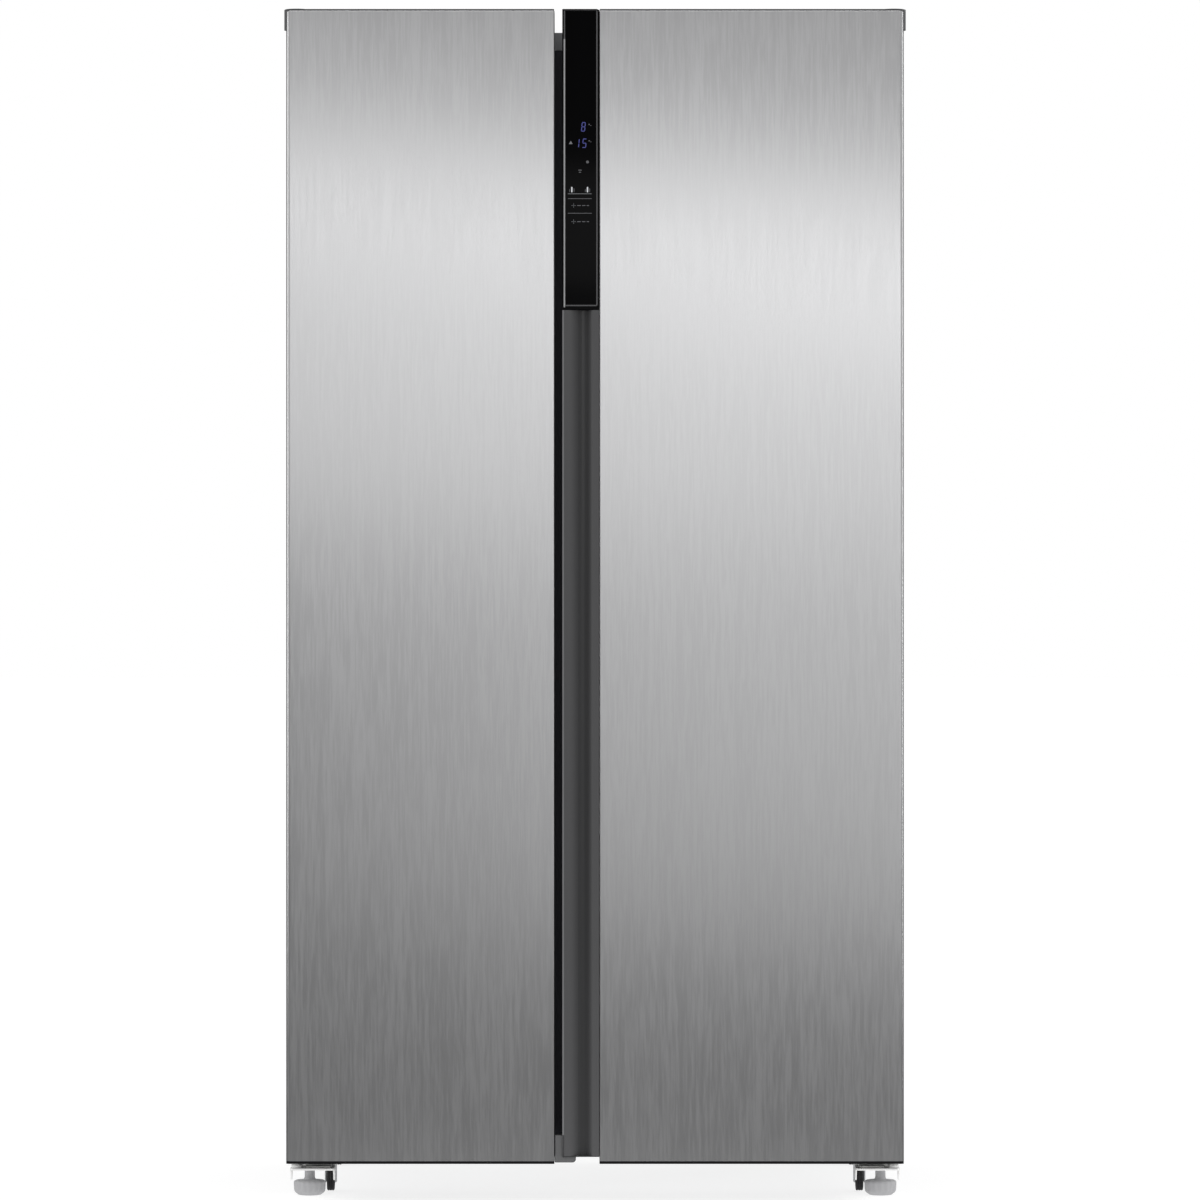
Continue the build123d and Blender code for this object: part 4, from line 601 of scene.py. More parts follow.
# %% The path of the sheet
FOLD, FREE_FOLD, TOP_CURL, FOOT_CURL, SHEET = mm(6.5, 2.0, 2.6, 0.8, 0.8)
front, door_back = box("freezer_door_skin")[0][1], box("freezer_door_skin")[1][1]
shell_low, shell_high = box("cabinet_shell")
hinge_x = box("top_hinges")[1][0] - 10.0 * MM  # the pins' distance from the middle
hinge_reach = hinge_x - 19.5 * MM  # where the notches for the upper hinge arms start
pocket_low = shell_high[2] - 1.0 * MM  # the notches' floor


def sheet_path(x0, x1, front, left_end, right_end, back, flange, folds):
    """Path from left to right: side wall, quarter turn, front, quarter turn, side wall. A side that reaches
    the back ends in a flange that is turned in behind the door."""
    left = [(x0 + flange, back), (x0, back)] if left_end is None else [(x0, left_end)]
    right = [(x1, back), (x1 - flange, back)] if right_end is None else [(x1, right_end)]
    across = np.stack([np.linspace(x0 + folds[0], x1 - folds[1], 9)[1:-1], np.full(7, front)], axis=1)
    return np.concatenate([left, arc((x0 + folds[0], front + folds[0]), folds[0], 180, 270, 7), across,
                           arc((x1 - folds[1], front + folds[1]), folds[1], 270, 360, 7), right])


def curled_sheet(path, z0, z1, keep):
    """Path carried from z0 to z1. Both ends move inwards along the path's normals on a quarter circle: the way in
    is curl * (1 - sin a) at a height of curl * (1 - cos a) from the end. Keep says which faces stay."""
    angle = np.radians(np.linspace(0, 90, 6))
    rise, shrink = 1 - np.cos(angle), 1 - np.sin(angle)
    middle = np.linspace(z0 + FOOT_CURL, z1 - TOP_CURL, 14)[1:-1]
    heights = np.concatenate([z0 + FOOT_CURL * rise, middle, [pocket_low], z1 - TOP_CURL * rise])
    shrink = np.concatenate([FOOT_CURL * shrink, np.zeros(len(middle) + 1), TOP_CURL * shrink])
    order = np.argsort(heights, kind="stable")
    grid = np.empty((len(order), len(path), 3))
    grid[..., :2] = path[None] + inward_normals(path)[None] * shrink[order][:, None, None]
    grid[..., 2] = heights[order][:, None]
    faces = grid_faces(len(order), len(path), False)
    points = grid.reshape(-1, 3)
    return points, faces[keep(points[faces].mean(axis=1))].tolist()


# %% Both door skins
POCKET_FRONT = 9 * MM  # from the door's front to the notch for the upper hinge arm


def outside_pocket(centres):
    """True where a face is not in the notch for the upper hinge arm."""
    x, y, z = centres.T
    return ~((np.abs(x) > hinge_reach) & (y > front + POCKET_FRONT) & (z > pocket_low))


def door_skin(node, body, free_side):
    """Steel front of one door."""
    low, high = box(node)
    short = low[1] + 12 * MM
    ends = (short, None) if free_side < 0 else (None, short)
    folds = (FREE_FOLD, FOLD) if free_side < 0 else (FOLD, FREE_FOLD)
    path = sheet_path(low[0], high[0], low[1], *ends, high[1], 13 * MM, folds)
    sheet = curled_sheet(path, low[2] + 0.4 * MM, high[2] - 0.1 * MM, outside_pocket)
    return piece(node + "_sheet", sheet, body, STEEL, (node,), wall=SHEET)


freezer_skin = door_skin("freezer_door_skin", "freezer_door", 1)
fridge_skin = door_skin("fridge_door_skin", "fridge_door", -1)
print("skins", len(freezer_skin.data.vertices), len(fridge_skin.data.vertices))

# %% [markdown]
# ## Handle strip
# The fridge door has no bar to pull. A dark moulding runs down its free edge instead: it leaves the flat ledge
# softly, sinks, and comes up quickly on the right, so that fingers can hook in. Its groove is painted darker with
# depth, as painted shade, and a lighter line down its left edge is a painted highlight. The section is one array
# of points and the moulding is that section carried up the door.

# %% Strip, its painted edge highlight and its lower end
strip_low, strip_high = box("handle_strip")
highlight_width = 2.6 * MM


def groove_profile(x0, x1, face, back, deep):
    """Closed outline seen from above: left edge, groove, narrow ridge, back. With t the share of the way across,
    the depth is deep * sin(pi * t ** 1.6) ** 1.5, which is deepest at two thirds."""
    start, stop = x0 + 4 * MM, x1 - 9 * MM
    way = np.linspace(0, 1, 45)
    depth = deep * np.sin(np.pi * way ** 1.6) ** 1.5
    groove = np.stack([start + (stop - start) * way, face + depth], axis=1)
    ridge = arc((x1 - 1.0 * MM, face + 1.0 * MM), 1.0 * MM, 270, 360, 5)
    return np.concatenate([arc((x0 + 0.5 * MM, face + 0.5 * MM), 0.5 * MM, 180, 270, 4), groove, ridge,
                           [(x1, back), (x0, back)]])


groove_loop = groove_profile(strip_low[0] + highlight_width, strip_high[0] - 0.3 * MM, front, front + 11.8 * MM, 10.6 * MM)
strip_wall = slab((strip_low[0], front + 2.0 * MM, strip_low[2]),
                  (strip_low[0] + 2.5 * MM, door_back - 0.2 * MM, strip_high[2]), corner=0.3 * MM)
piece("handle_trough", joined([prism(groove_loop, strip_low[2] + 1.2 * MM, strip_high[2], 2), strip_wall]),
      "fridge_door", TROUGH, ("handle_strip",), angle=40)
piece("handle_end_lip", slab((strip_low[0] + 0.2 * MM, front + 0.3 * MM, strip_low[2]),
                             (strip_high[0] - 0.1 * MM, front + 58 * MM, strip_low[2] + 1.6 * MM),
                             corner=0.8 * MM, roll=0.4 * MM), "fridge_door", BLACK)
# A lighter line down the strip's left edge, a painted highlight.
highlight_bottom = strip_low[2] + 32 * MM
piece("handle_highlight_line", slab((strip_low[0] + 0.1 * MM, front + 0.02 * MM, highlight_bottom),
                               (strip_low[0] + highlight_width, front + 4 * MM, strip_high[2] - 0.2 * MM),
                               corner=mm(1.0, 0.2, 0.2, 0.2)), "fridge_door", EDGE_HIGHLIGHT)
print("strip", np.round((strip_high - strip_low) / MM, 1))

# %% [markdown]
# ## Display
# The upper end of the strip is a narrow black glass in a glossy black frame. A grey rim round the glass and a
# lighter line down its left side are painted highlights of the glass's edge. Its signs light up from behind: two
# rows of figures in seven segments, a mark beside them, and a few plain touch keys between thin lines. Every
# sign is a flat little prism on the glass, and each figure is a choice among the same seven bars.

# %% Frame, glass, and a rim that paints the glass's edge highlight
housing_low, housing_high = box("display_housing")
glass_low, glass_high = box("display_panel")
frame_radii = mm(0.8, 0.8, 4.5, 0.8)
frame_edge = profile_mm([(2.0, 4.6), (2.0, 0.4), (1.6, 0), (0.7, 0), (0.2, 0.2), (0, 0.7), (0, 11.8)], front)
frame_parts = [ringed(housing_low[[2, 0]], housing_high[[2, 0]], frame_radii, frame_edge, axis=1),
               slab((housing_low[0], front + 11.5 * MM, housing_low[2]),
                    (housing_low[0] + 2.5 * MM, door_back - 0.2 * MM, housing_high[2] - 1 * MM), corner=0.4 * MM),
               slab((housing_low[0] + 2 * MM, front + 11.5 * MM, housing_high[2] - 14 * MM),
                    (housing_high[0], door_back - 0.2 * MM, housing_high[2] - 0.1 * MM), corner=0.4 * MM)]
lip = slab((housing_low[0] + 1.5 * MM, front + 0.25 * MM, housing_low[2] + 0.6 * MM),
           (housing_high[0] - 1.5 * MM, front + 4.8 * MM, housing_low[2] + 5.2 * MM), axis=1, corner=1.2 * MM,
           roll=0.4 * MM)
piece("display_frame", joined(frame_parts + [lip]), "fridge_door", PIANO, ("display_housing",))
piece("display_glass", slab(glass_low, glass_high, axis=1, corner=mm(3.0, 0.8, 3.4, 3.0), roll=0.35 * MM),
      "fridge_door", SMOKED, ("display_panel",))
# The rim round the glass is a painted highlight of its edge.
rim_edge = profile_mm([(2.0, 2.2), (2.0, 1.2), (1.5, 0.9), (0.5, 0.9), (0, 1.2), (0, 2.2)], front)
rim_low = np.array([housing_low[2] + 5.6 * MM, housing_low[0] + 2.2 * MM])
rim_high = np.array([housing_high[2] - 0.4 * MM, housing_high[0] - 2.6 * MM])
piece("display_rim_highlight", ringed(rim_low, rim_high, mm(3, 1, 3.5, 3), rim_edge, axis=1, wrap=True), "fridge_door",
      RIM_HIGHLIGHT, merge=True)
# A lighter line down the display's left side, a painted highlight.
piece("display_highlight_line", slab((housing_low[0] + 2.0 * MM, front + 0.02 * MM, housing_low[2] + 4 * MM),
                                (housing_low[0] + 4.3 * MM, front + 3 * MM, housing_high[2] - 44 * MM),
                                corner=0.4 * MM, roll=0.3 * MM), "fridge_door", BRIGHT_HIGHLIGHT)
print("display", np.round((housing_high - housing_low) / MM, 1))

# %% Signs
SIGN_LOOKS = {"figures": BLUE_SIGN, "marks": WHITE_SIGN, "mid": MID_SIGN, "dim": DIM_SIGN}
sign_parts = {kind: [] for kind in SIGN_LOOKS}
sign_back = glass_low[1] - 0.10 * MM


def bar(kind, x, z, width, height, lean=0.0):
    """Flat bar on the glass about (x, z), in millimetres from the glass's low corner, with rounded corners and an
    optional lean."""
    x, z = x + glass_low[0] / MM, z + glass_low[2] / MM
    vertices, faces = slab((x - width / 2, 0, z - height / 2), (x + width / 2, 0.12, z + height / 2), axis=1,
                           corner=min(width, height) * 0.35, steps=3)
    vertices = vertices * MM
    vertices[:, 0] += (vertices[:, 2] - z * MM) * lean
    vertices[:, 1] += sign_back
    sign_parts[kind].append((vertices, faces))


def polygon(kind, x, z, radius, sides, turn=90.0):
    """Flat regular polygon on the glass about (x, z), in millimetres from the glass's low corner."""
    x, z = x + glass_low[0] / MM, z + glass_low[2] / MM
    loop = arc((0, 0), radius, turn, turn + 360 * (1 - 1 / sides), sides)[:, ::-1] * MM + np.array([z, x]) * MM
    sign_parts[kind].append(prism(loop[::-1], sign_back, glass_low[1] + 0.02 * MM, 1))


SEGMENTS = {"a": (0, 2, 1), "b": (1, 1, 0), "c": (1, -1, 0), "d": (0, -2, 1), "e": (-1, -1, 0), "f": (-1, 1, 0),
            "g": (0, 0, 1)}
FIGURES = {"1": "bc", "5": "acdfg", "8": "abcdefg"}


def figure(sign, x, z, width=6.0, height=12.5, stroke=1.3):
    """Seven segment figure about (x, z)."""
    for segment in FIGURES[sign]:
        side, level, flat = SEGMENTS[segment]
        size = (width - stroke, stroke) if flat else (stroke, height / 2 - stroke * 0.8)
        bar("figures", x + side * (width - stroke) / 2 + level * height / 4 * 0.1, z + level * height / 4,
            *size, lean=0.1)


figure("8", 28.5, 266.0)
figure("1", 19.6, 242.0)
figure("5", 30.0, 242.0)
for z in (269.5, 245.5):
    polygon("dim", 36.9, z, 1.0, 8)
    bar("dim", 39.3, z - 1.6, 2.0, 0.7)
polygon("mid", 10.0, 242.3, 3.2, 3)
polygon("dim", 34.5, 214.5, 2.2, 8)
bar("dim", 23.5, 202.5, 5.0, 1.2)
bar("dim", 23.5, 199.5, 3.4, 1.2)
for x in (11.5, 34.5):
    bar("marks", x, 174.0, 2.0, 8.0)
    bar("dim", x + 3.2, 173.0, 1.0, 5.5)
    bar("dim", x - 3.2, 172.5, 0.9, 4.5)
for z, kind, height in ((167.9, "mid", 0.8), (160.8, "dim", 0.8), (139.4, "dim", 0.8)):
    bar(kind, 23.2, z, 35.0, height)
for z, spokes in ((150.7, 6), (127.1, 4)):
    for turn in range(spokes):
        angle = math.pi * turn / spokes
        bar("mid", 14.2, z, 0.8, 5.6 * abs(math.cos(angle)) + 0.8)
        bar("mid", 14.2, z, 5.6 * abs(math.sin(angle)) + 0.8, 0.8)
    for x, width in ((22.0, 5.5), (29.0, 5.0), (35.0, 3.5)):
        bar("dim", x, z, width, 1.1)
for kind, material in SIGN_LOOKS.items():
    piece("display_" + kind, joined(sign_parts[kind]), "fridge_door", material)
print("signs", {kind: len(parts) for kind, parts in sign_parts.items()})

# %% [markdown]
# ## Block at the foot of the strip
# A small moulding closes the gap between the doors at the bottom. It is rounded at its lower free corner and
# a little paler than the strip, and a lighter bead near its left edge is a painted highlight.

# %% End block and door caps
caps_low, caps_high = box("fridge_door_caps")
block_low = np.array([caps_low[0] - 0.9 * MM, caps_low[1] + 6 * MM, caps_low[2]])
block_high = np.array([caps_low[0] + 30 * MM, caps_low[1] + 33 * MM, caps_low[2] + 40 * MM])
piece("end_block", slab(block_low, block_high, axis=1, corner=mm(1.2, 1.2, 1.2, 5), roll=0.8 * MM), "fridge_door",
      BLOCK)
# A lighter bead near the block's left edge, a painted highlight.
highlight_low = block_low + np.array([1.8, -0.5, 1.0]) * MM
piece("end_block_highlight", slab(highlight_low, highlight_low + np.array([1.4, 2.0, 37.0]) * MM, corner=0.5 * MM, roll=0.4 * MM),
      "fridge_door", EDGE_HIGHLIGHT)
print("end block", np.round((block_high - block_low) / MM, 1))
POCKET_WALL = 1.6 * MM


def door_caps(prefix):
    """Plates that close a door's two ends. The upper one has a notch and a lined pocket for the hinge arm."""
    low, high = box(prefix + "_door_skin")
    x0, x1 = low[0] + 0.02 * MM, high[0] - 0.02 * MM
    y0, y1 = low[1] + 0.02 * MM, high[1] - 0.1 * MM
    bottom, top = caps_low[2] - 1.5 * MM, caps_high[2]
    left = prefix == "freezer"
    inner = -hinge_reach if left else hinge_reach
    outer = x0 if left else x1
    side, depth = abs(outer - inner), y1 - (low[1] + POCKET_FRONT)
    corner = np.array(([6.0, 1.8] if left else [1.8, 6.0]) + [1.6] * 4) * MM
    edge = 0.5 * MM
    upper = softened(notched((x0 + edge, y0 + edge), (x1 - edge, y1), (side - edge, depth), 3 if left else 2), corner)
    skirt = sorted((inner, high[0] - 0.5 * MM if left else low[0] + 0.5 * MM))
    parts = [prism(upper, top - 1.7 * MM, top, 2, 0.5 * MM),
             slab((skirt[0], y1 - 2 * MM, top - 17 * MM), (skirt[1], y1, top - 2 * MM), axis=1, corner=0.6 * MM)]
    foot_parts = [prism(round_rectangle((x0, y0), (x1, y1), corner[:4], 6), bottom, bottom + 4.2 * MM, 2, 0.3 * MM),
                  slab((x0 + 0.5 * MM, y1 - 2 * MM, bottom + 2 * MM), (x1 - 0.5 * MM, y1, bottom + 18.5 * MM), axis=1,
                       corner=0.6 * MM)]
    grip_low, grip_high = box("freezer_door_grip")
    if left:
        grip = (grip_low[0] - 1 * MM, grip_low[1] + 0.2 * MM)
        parts.append(slab((*grip, grip_high[2] - 0.2 * MM), (x1, y1 - 0.1 * MM, top - 1.5 * MM), corner=0.6 * MM))
        foot_parts.append(slab((*grip, bottom + 2.5 * MM), (x1, y1 - 0.1 * MM, grip_low[2] + 0.2 * MM),
                               corner=0.6 * MM))
    a, b = sorted((inner, outer))
    wall = inner if left else inner - POCKET_WALL
    lining_low, lining_high = pocket_low - 1.5 * MM, top - 1 * MM
    parts += [slab((a, y1 - depth, lining_low), (b, y1, pocket_low + 0.2 * MM), corner=0.5 * MM),
              slab((a - (0 if left else POCKET_WALL), y1 - depth - POCKET_WALL, lining_low),
                   (b + (POCKET_WALL if left else 0), y1 - depth, lining_high), corner=0.4 * MM),
              slab((wall, y1 - depth - POCKET_WALL, lining_low), (wall + POCKET_WALL, y1, lining_high),
                   corner=0.4 * MM)]
    body = prefix + "_door"
    piece(body + "_top", joined(parts), body, CAP, (body + "_caps",))
    # The lower end plates take the near-black copy of the cap plastic, as painted shade.
    piece(body + "_foot", joined(foot_parts), body, SHADED_DOOR_END)
    core = slab((x0 + 1.2 * MM, y0 + 1.2 * MM, bottom + 4 * MM),
                ((grip_low[0] if left else x1) - 1.2 * MM, y1 - 2.4 * MM, pocket_low - 3 * MM),
                corner=mm(5.8, 5.8, 1, 1))
    piece(body + "_core", core, body, FOAM, (body + "_foam",))


for prefix in ("freezer", "fridge"):
    door_caps(prefix)

# %% [markdown]
# ## Levelling feet
# Each front corner stands on a grey moulded foot that is turned by hand: a cup with finger lobes round its
# rim, a round hub above it and a threaded stud. The cup is a surface of revolution whose radius swells and
# shrinks slightly with the angle. The thread's radius steps in and out along the height, which is enough for
# a stud that is almost hidden.

# %% Feet
HUB_TOP = 48  # millimetres above the floor


def lobed(profile, centre, lobes, depth, steps=96):
    """Surface of revolution with radius * (1 - depth * mark * (1 - cos(lobes * angle)) / 2), where a profile's
    rows are (radius, level, mark)."""
    rows = np.array([row[:2] for row in profile], float)
    mark = np.array([row[2] for row in profile], float)
    angle = np.linspace(0, 2 * np.pi, steps, endpoint=False)
    radius = rows[:, :1] * (1 - depth * mark[:, None] * (0.5 - 0.5 * np.cos(lobes * angle))[None])
    return capped(np.stack([centre[0] + radius * np.cos(angle), centre[1] + radius * np.sin(angle),
                            np.broadcast_to(rows[:, 1:], radius.shape) + centre[2]], axis=2))


def levelling_foot(side):
    """Foot of one front corner."""
    node = "levelling_foot_" + side
    low, high = box(node)
    x, y = (low[0] + high[0]) / 2, (low[1] + high[1]) / 2
    outer = (high[0] - low[0]) / 2
    rim = [(outer - inset * MM, level * MM, mark) for inset, level, mark in (
        (8, 0, 0), (7, 0.3, 0), (2.6, 3.4, 0.7), (1.0, 5.6, 1), (0.4, 9, 1), (0, 17, 1), (0, 19, 1), (1.0, 20.8, 1),
        (3.0, 21.8, 0.6))]
    hub = [(radius * MM, level * MM, 0) for radius, level in (
        (12, 22.2), (9, 23.2), (7.6, 26), (7.4, 47.2), (6.8, HUB_TOP), (5, HUB_TOP))]
    piece(node + "_cup", lobed(rim + hub, (x, y, 0), 16, 0.035), node, FOOT, (node,), angle=38)
    turns = np.linspace(HUB_TOP * MM, high[2] - 0.3 * MM, 15)
    thread = [(4.95 * MM - 0.55 * MM * (index % 2), level) for index, level in enumerate(turns)]
    piece(node + "_stud", spun(thread, (x, y, 0), 2, 32), node, ZINC)


for side in ("left", "right"):
    levelling_foot(side)
print("feet", round(box("levelling_foot_left")[1][2] / MM, 1), "mm high")

# %% [markdown]
# ## Lower hinge brackets
# A bracket is pressed from thick sheet: a plate under the door, a rise to the cabinet's underside, a flat with two
# screws, and an ear bent down at each side that guards the foot. It is drawn here as those folds, each one an
# outline carried across, with the collar and the pin turned on top.

# %% Brackets
def lower_bracket():
    """Right hand bracket: its folds with the collar, pin and nut as one shape, and the pad on its plate as another."""
    low, high = box("bottom_hinges")
    step, under = shell_low[1:]
    foot = sum(box("levelling_foot_right")) / 2
    x1 = high[0]
    x0 = x1 - 65 * MM
    seat = high[2] - 29.5 * MM
    top = seat - 1.6 * MM
    thick = 3.6 * MM
    hinge = (hinge_x, low[1] + 12 * MM, 0)
    plate = round_rectangle((x0, low[1]), (x1, step + 4 * MM), mm(6, 6, 1.4, 1.4))
    fold = softened([(step + 0.4 * MM, top - thick), (step + 4 * MM, top - thick), (step + 4 * MM, under - thick),
                     (high[1], under - thick), (high[1], under - 0.1 * MM), (step + 0.4 * MM, under - 0.1 * MM)],
                    1.2 * MM)
    y0, y1 = low[1] + 8 * MM, low[1] + 44 * MM
    ear = softened([(y1, top - 1 * MM), (y0, top - 1 * MM), (y0, top - 5 * MM), (y0 + 12 * MM, low[2]),
                    (y1 - 12 * MM, low[2]), (y1, top - 5 * MM)], 1.9 * MM)
    pad = round_rectangle((x0 + 5 * MM, low[1] + 9 * MM), (hinge_x - 12 * MM, step + 2 * MM), 3 * MM)
    folds = [prism(plate, top - thick, top, 2, 1.2 * MM), prism(fold, x0, x1, 0, 0.6 * MM),
             prism(ear, x1 - 2 * MM, x1, 0, 0.5 * MM), prism(ear, x0, x0 + 2 * MM, 0, 0.5 * MM)]
    collar = spun([(8 * MM, top - 0.2 * MM), (8 * MM, seat + 2.2 * MM), (7.2 * MM, seat + 3.0 * MM),
                   (6.4 * MM, seat + 3.2 * MM), (6.4 * MM, seat + 6.3 * MM), (5 * MM, seat + 6.4 * MM),
                   (5 * MM, high[2] - 1 * MM), (4 * MM, high[2])], hinge, 2, 40)
    angle = np.radians(np.arange(6) * 60 + 30)[:, None]
    hexagon = foot[:2] + 10.2 * MM * np.concatenate([np.cos(angle), np.sin(angle)], axis=1)
    nut = prism(hexagon, under - 11.6 * MM, under - 3.5 * MM, 2, 0.8 * MM)
    return joined(folds + [collar, nut]), prism(pad, top - 0.3 * MM, top + 2.4 * MM, 2, 0.9 * MM)


bracket_sheet, bracket_pad = lower_bracket()
# The brackets take the near-white zinc, partly painted light; their pads keep plain zinc.
piece("lower_brackets", joined([bracket_sheet, mirrored(bracket_sheet)]), "cabinet", LIT_ZINC,
      ("bottom_hinges",))
piece("lower_bracket_pads", joined([bracket_pad, mirrored(bracket_pad)]), "cabinet", ZINC)
print("brackets", len(bracket_sheet[0]) * 2)

# %% [markdown]
# ## Rollers
# The four rollers are moulded wheels with a thin web, a hub round the axle and two shallow grooves in the tread.

# %% Wheels
HALF_WHEEL = np.array([
    (3.0, 1.0), (6.0, 1.0), (6.6, 0.94), (7.2, 0.55), (14.5, 0.55), (15.2, 0.90), (16.0, 1.0), (18.4, 1.0),
    (19.6, 0.86), (20.0, 0.70), (20.0, 0.42), (19.3, 0.36), (19.3, 0.26), (20.0, 0.20)])
WHEEL_RADIUS = 20.0
for name in ("front_roller_left", "front_roller_right", "rear_roller_left", "rear_roller_right"):
    low, high = box(name)
    middle, radius, wide = (low + high) / 2, (high[2] - low[2]) / 2, (high[0] - low[0]) / 2
    outline = HALF_WHEEL * (radius / WHEEL_RADIUS, -wide)
    outline = np.concatenate([outline, outline[::-1] * (1, -1)])
    piece(name + "_wheel", spun(outline, middle, 0, 56), name, BLACK, (name,), angle=28)
    print(name, "radius", round(radius / MM, 1))

# %% [markdown]
# ## Inside the doors
# The door's inside is one white sheet drawn down over a mould: a flat border, and a hollow rib that stands
# into the compartment and carries the bins. Rib, seal and bins are all the same construction, a rounded
# rectangle drawn once for each point of a profile, which is how a frame moulding is made too.

# %% Rooms, ribs and bin heights
LINER_LIP = 20 * MM
RIB_WIDTH = 38 * MM
ROOMS = {}
for prefix in ("freezer", "fridge"):
    low, high = box(prefix + "_liner")
    ROOMS[prefix] = (low + (LINER_LIP, 0, LINER_LIP), high - (LINER_LIP, 2 * MM, LINER_LIP))


def rib_box(prefix):
    """Outer box of the rib that stands into a compartment: 8 mm inside it at the hinge, 10 mm at the free side."""
    room_low, room_high = ROOMS[prefix]
    gaps = (8, 10) if prefix == "freezer" else (10, 8)
    return (np.array([room_low[0] + gaps[0] * MM, 0, room_low[2] + 8 * MM]),
            np.array([room_high[0] - gaps[1] * MM, 0, room_high[2] - 8 * MM]))


def bin_levels(prefix):
    """Undersides of a door's four bins, at even shares of the rib's inside height."""
    low, high = rib_box(prefix)
    inside = low[2] + RIB_WIDTH
    height = high[2] - RIB_WIDTH - inside
    return [inside + share * height for share in (0.06, 0.29, 0.52, 0.75)]


print("rooms", {prefix: np.round((high - low) / MM).tolist() for prefix, (low, high) in ROOMS.items()})


# %% Door liners
def door_inside(prefix):
    """White liner of one door: border, rib with rounded shoulders and ledges under the bins."""
    low, high = box(prefix + "_door_liner")
    back = door_back
    rib_low, rib_high = rib_box(prefix)
    top, wide, shoulder, draft = high[1], RIB_WIDTH, 9 * MM, 1.2 * MM
    profile = [(-1 * MM, back - 0.5 * MM), (0, back + 1.5 * MM), (draft, top - shoulder)]
    profile += bend((draft + shoulder, top - shoulder), shoulder, 180, 90)
    profile += bend((wide - draft - shoulder, top - shoulder), shoulder, 90, 0)
    profile += [(wide, back + 1.5 * MM), (wide + 1 * MM, back - 0.5 * MM)]
    rib = ringed(rib_low[[2, 0]], rib_high[[2, 0]], 16 * MM, profile, axis=1, ends=False)
    side = hinge_reach + low[0] if prefix == "freezer" else high[0] - hinge_reach
    outline = notched(low[[2, 0]], high[[2, 0]], (high[2] - pocket_low + 2 * MM, abs(side) + 2 * MM),
                      1 if prefix == "freezer" else 2)
    parts = [rib, prism(outline, back - 2 * MM, back, 1, 0.6 * MM)]
    for z in bin_levels(prefix):
        for x0, x1 in ((rib_low[0] + wide - 1 * MM, rib_low[0] + wide + 6 * MM),
                       (rib_high[0] - wide - 6 * MM, rib_high[0] - wide + 1 * MM)):
            parts.append(slab((x0, back - 0.5 * MM, z - 10 * MM), (x1, back + 26 * MM, z - 0.1 * MM), axis=1,
                              corner=2 * MM, roll=1.5 * MM))
    piece(prefix + "_door_inside", joined(parts), prefix + "_door", WHITE,
          (prefix + "_door_liner",))


for prefix in ROOMS:
    door_inside(prefix)

# %% Seals
def door_seal(prefix):
    """Soft bellows round a door: a foot on the liner, a narrow fold and a flat magnetic face."""
    node = prefix + "_door_gasket"
    low, high = box(node)
    profile = [(4.0, 0.0), (2.5, 0.10), (3.5, 0.22), (1.2, 0.36), (0.6, 0.50), (1.4, 0.62), (0.4, 0.72), (0.0, 0.86),
               (0.6, 0.97), (1.6, 1.0), (18.4, 1.0), (19.4, 0.97), (20.0, 0.86), (19.6, 0.72), (18.0, 0.60),
               (18.8, 0.45), (17.0, 0.30), (17.6, 0.14), (16.0, 0.0)]
    profile = [(inset * MM, low[1] + share * (high[1] - low[1])) for inset, share in profile]
    ring = ringed(low[[2, 0]], high[[2, 0]], 5 * MM, profile, axis=1, wrap=True)
    piece(prefix + "_door_seal", ring, prefix + "_door", RUBBER, (node,), angle=50, merge=True)


for prefix in ROOMS:
    door_seal(prefix)
print("seals", np.round(np.subtract(*box("freezer_door_gasket")[::-1]) / MM, 1))

# %% Bins
def tray(low, high, front_radius, rear_radius):
    """Open tray: rolled lower edge, upright sides, a rounded rim, inside and floor. The front is at low y."""
    wall, floor, roll, rim = mm(2.4, 2.6, 3, 0.6)
    bottom, top = low[2], high[2]
    profile = bend((roll, bottom + roll), roll, 270, 180)
    profile += [(0, top - rim), (rim, top), (wall - rim, top), (wall, top - rim)]
    profile += bend((wall + roll, bottom + floor + roll), roll, 180, 270)
    return ringed(low[:2], high[:2], [front_radius] * 2 + [rear_radius] * 2, profile, axis=2, steps=8)


BIN_HEIGHT = 92 * MM


def door_bins(prefix):
    """Four clear bins of a door, with round corners towards the compartment."""
    node = prefix + "_door_bins"
    low, high = box(node)
    parts = [tray((*low[:2], z), (*high[:2], z + BIN_HEIGHT), 2 * MM, 14 * MM) for z in bin_levels(prefix)]
    piece(prefix + "_door_trays", joined(parts), prefix + "_door", CLEAR, (node,), angle=40)


for prefix in ROOMS:
    door_bins(prefix)
print("bins", {prefix: len(bin_levels(prefix)) for prefix in ROOMS})

# %% [markdown]
# ## Compartments
# Each compartment is one white box, drawn over a mould, so every inner edge is round. Seen from the front it
# is a rounded rectangle at every depth. Its floor climbs over the machine space: the height is a straight ramp
# whose two bends are softened, the sum of two terms (t + sqrt(t * t + w * w)) / 2 with opposite signs.

# %% Inner boxes
RAMP_START, RAMP_STOP, RAMP_RISE = mm(50, 95, 186)


def soft_ramp(t, width=5 * MM):
    """Zero well below t = 0, t well above it, with a rounded bend of a width between."""
    return (t + np.sqrt(t * t + width * width)) / 2


def floor_height(y, low):
    """Height of a compartment's floor at a depth."""
    slope = RAMP_RISE / (RAMP_STOP - RAMP_START)
    return low[2] + slope * (soft_ramp(y - RAMP_START) - soft_ramp(y - RAMP_STOP))


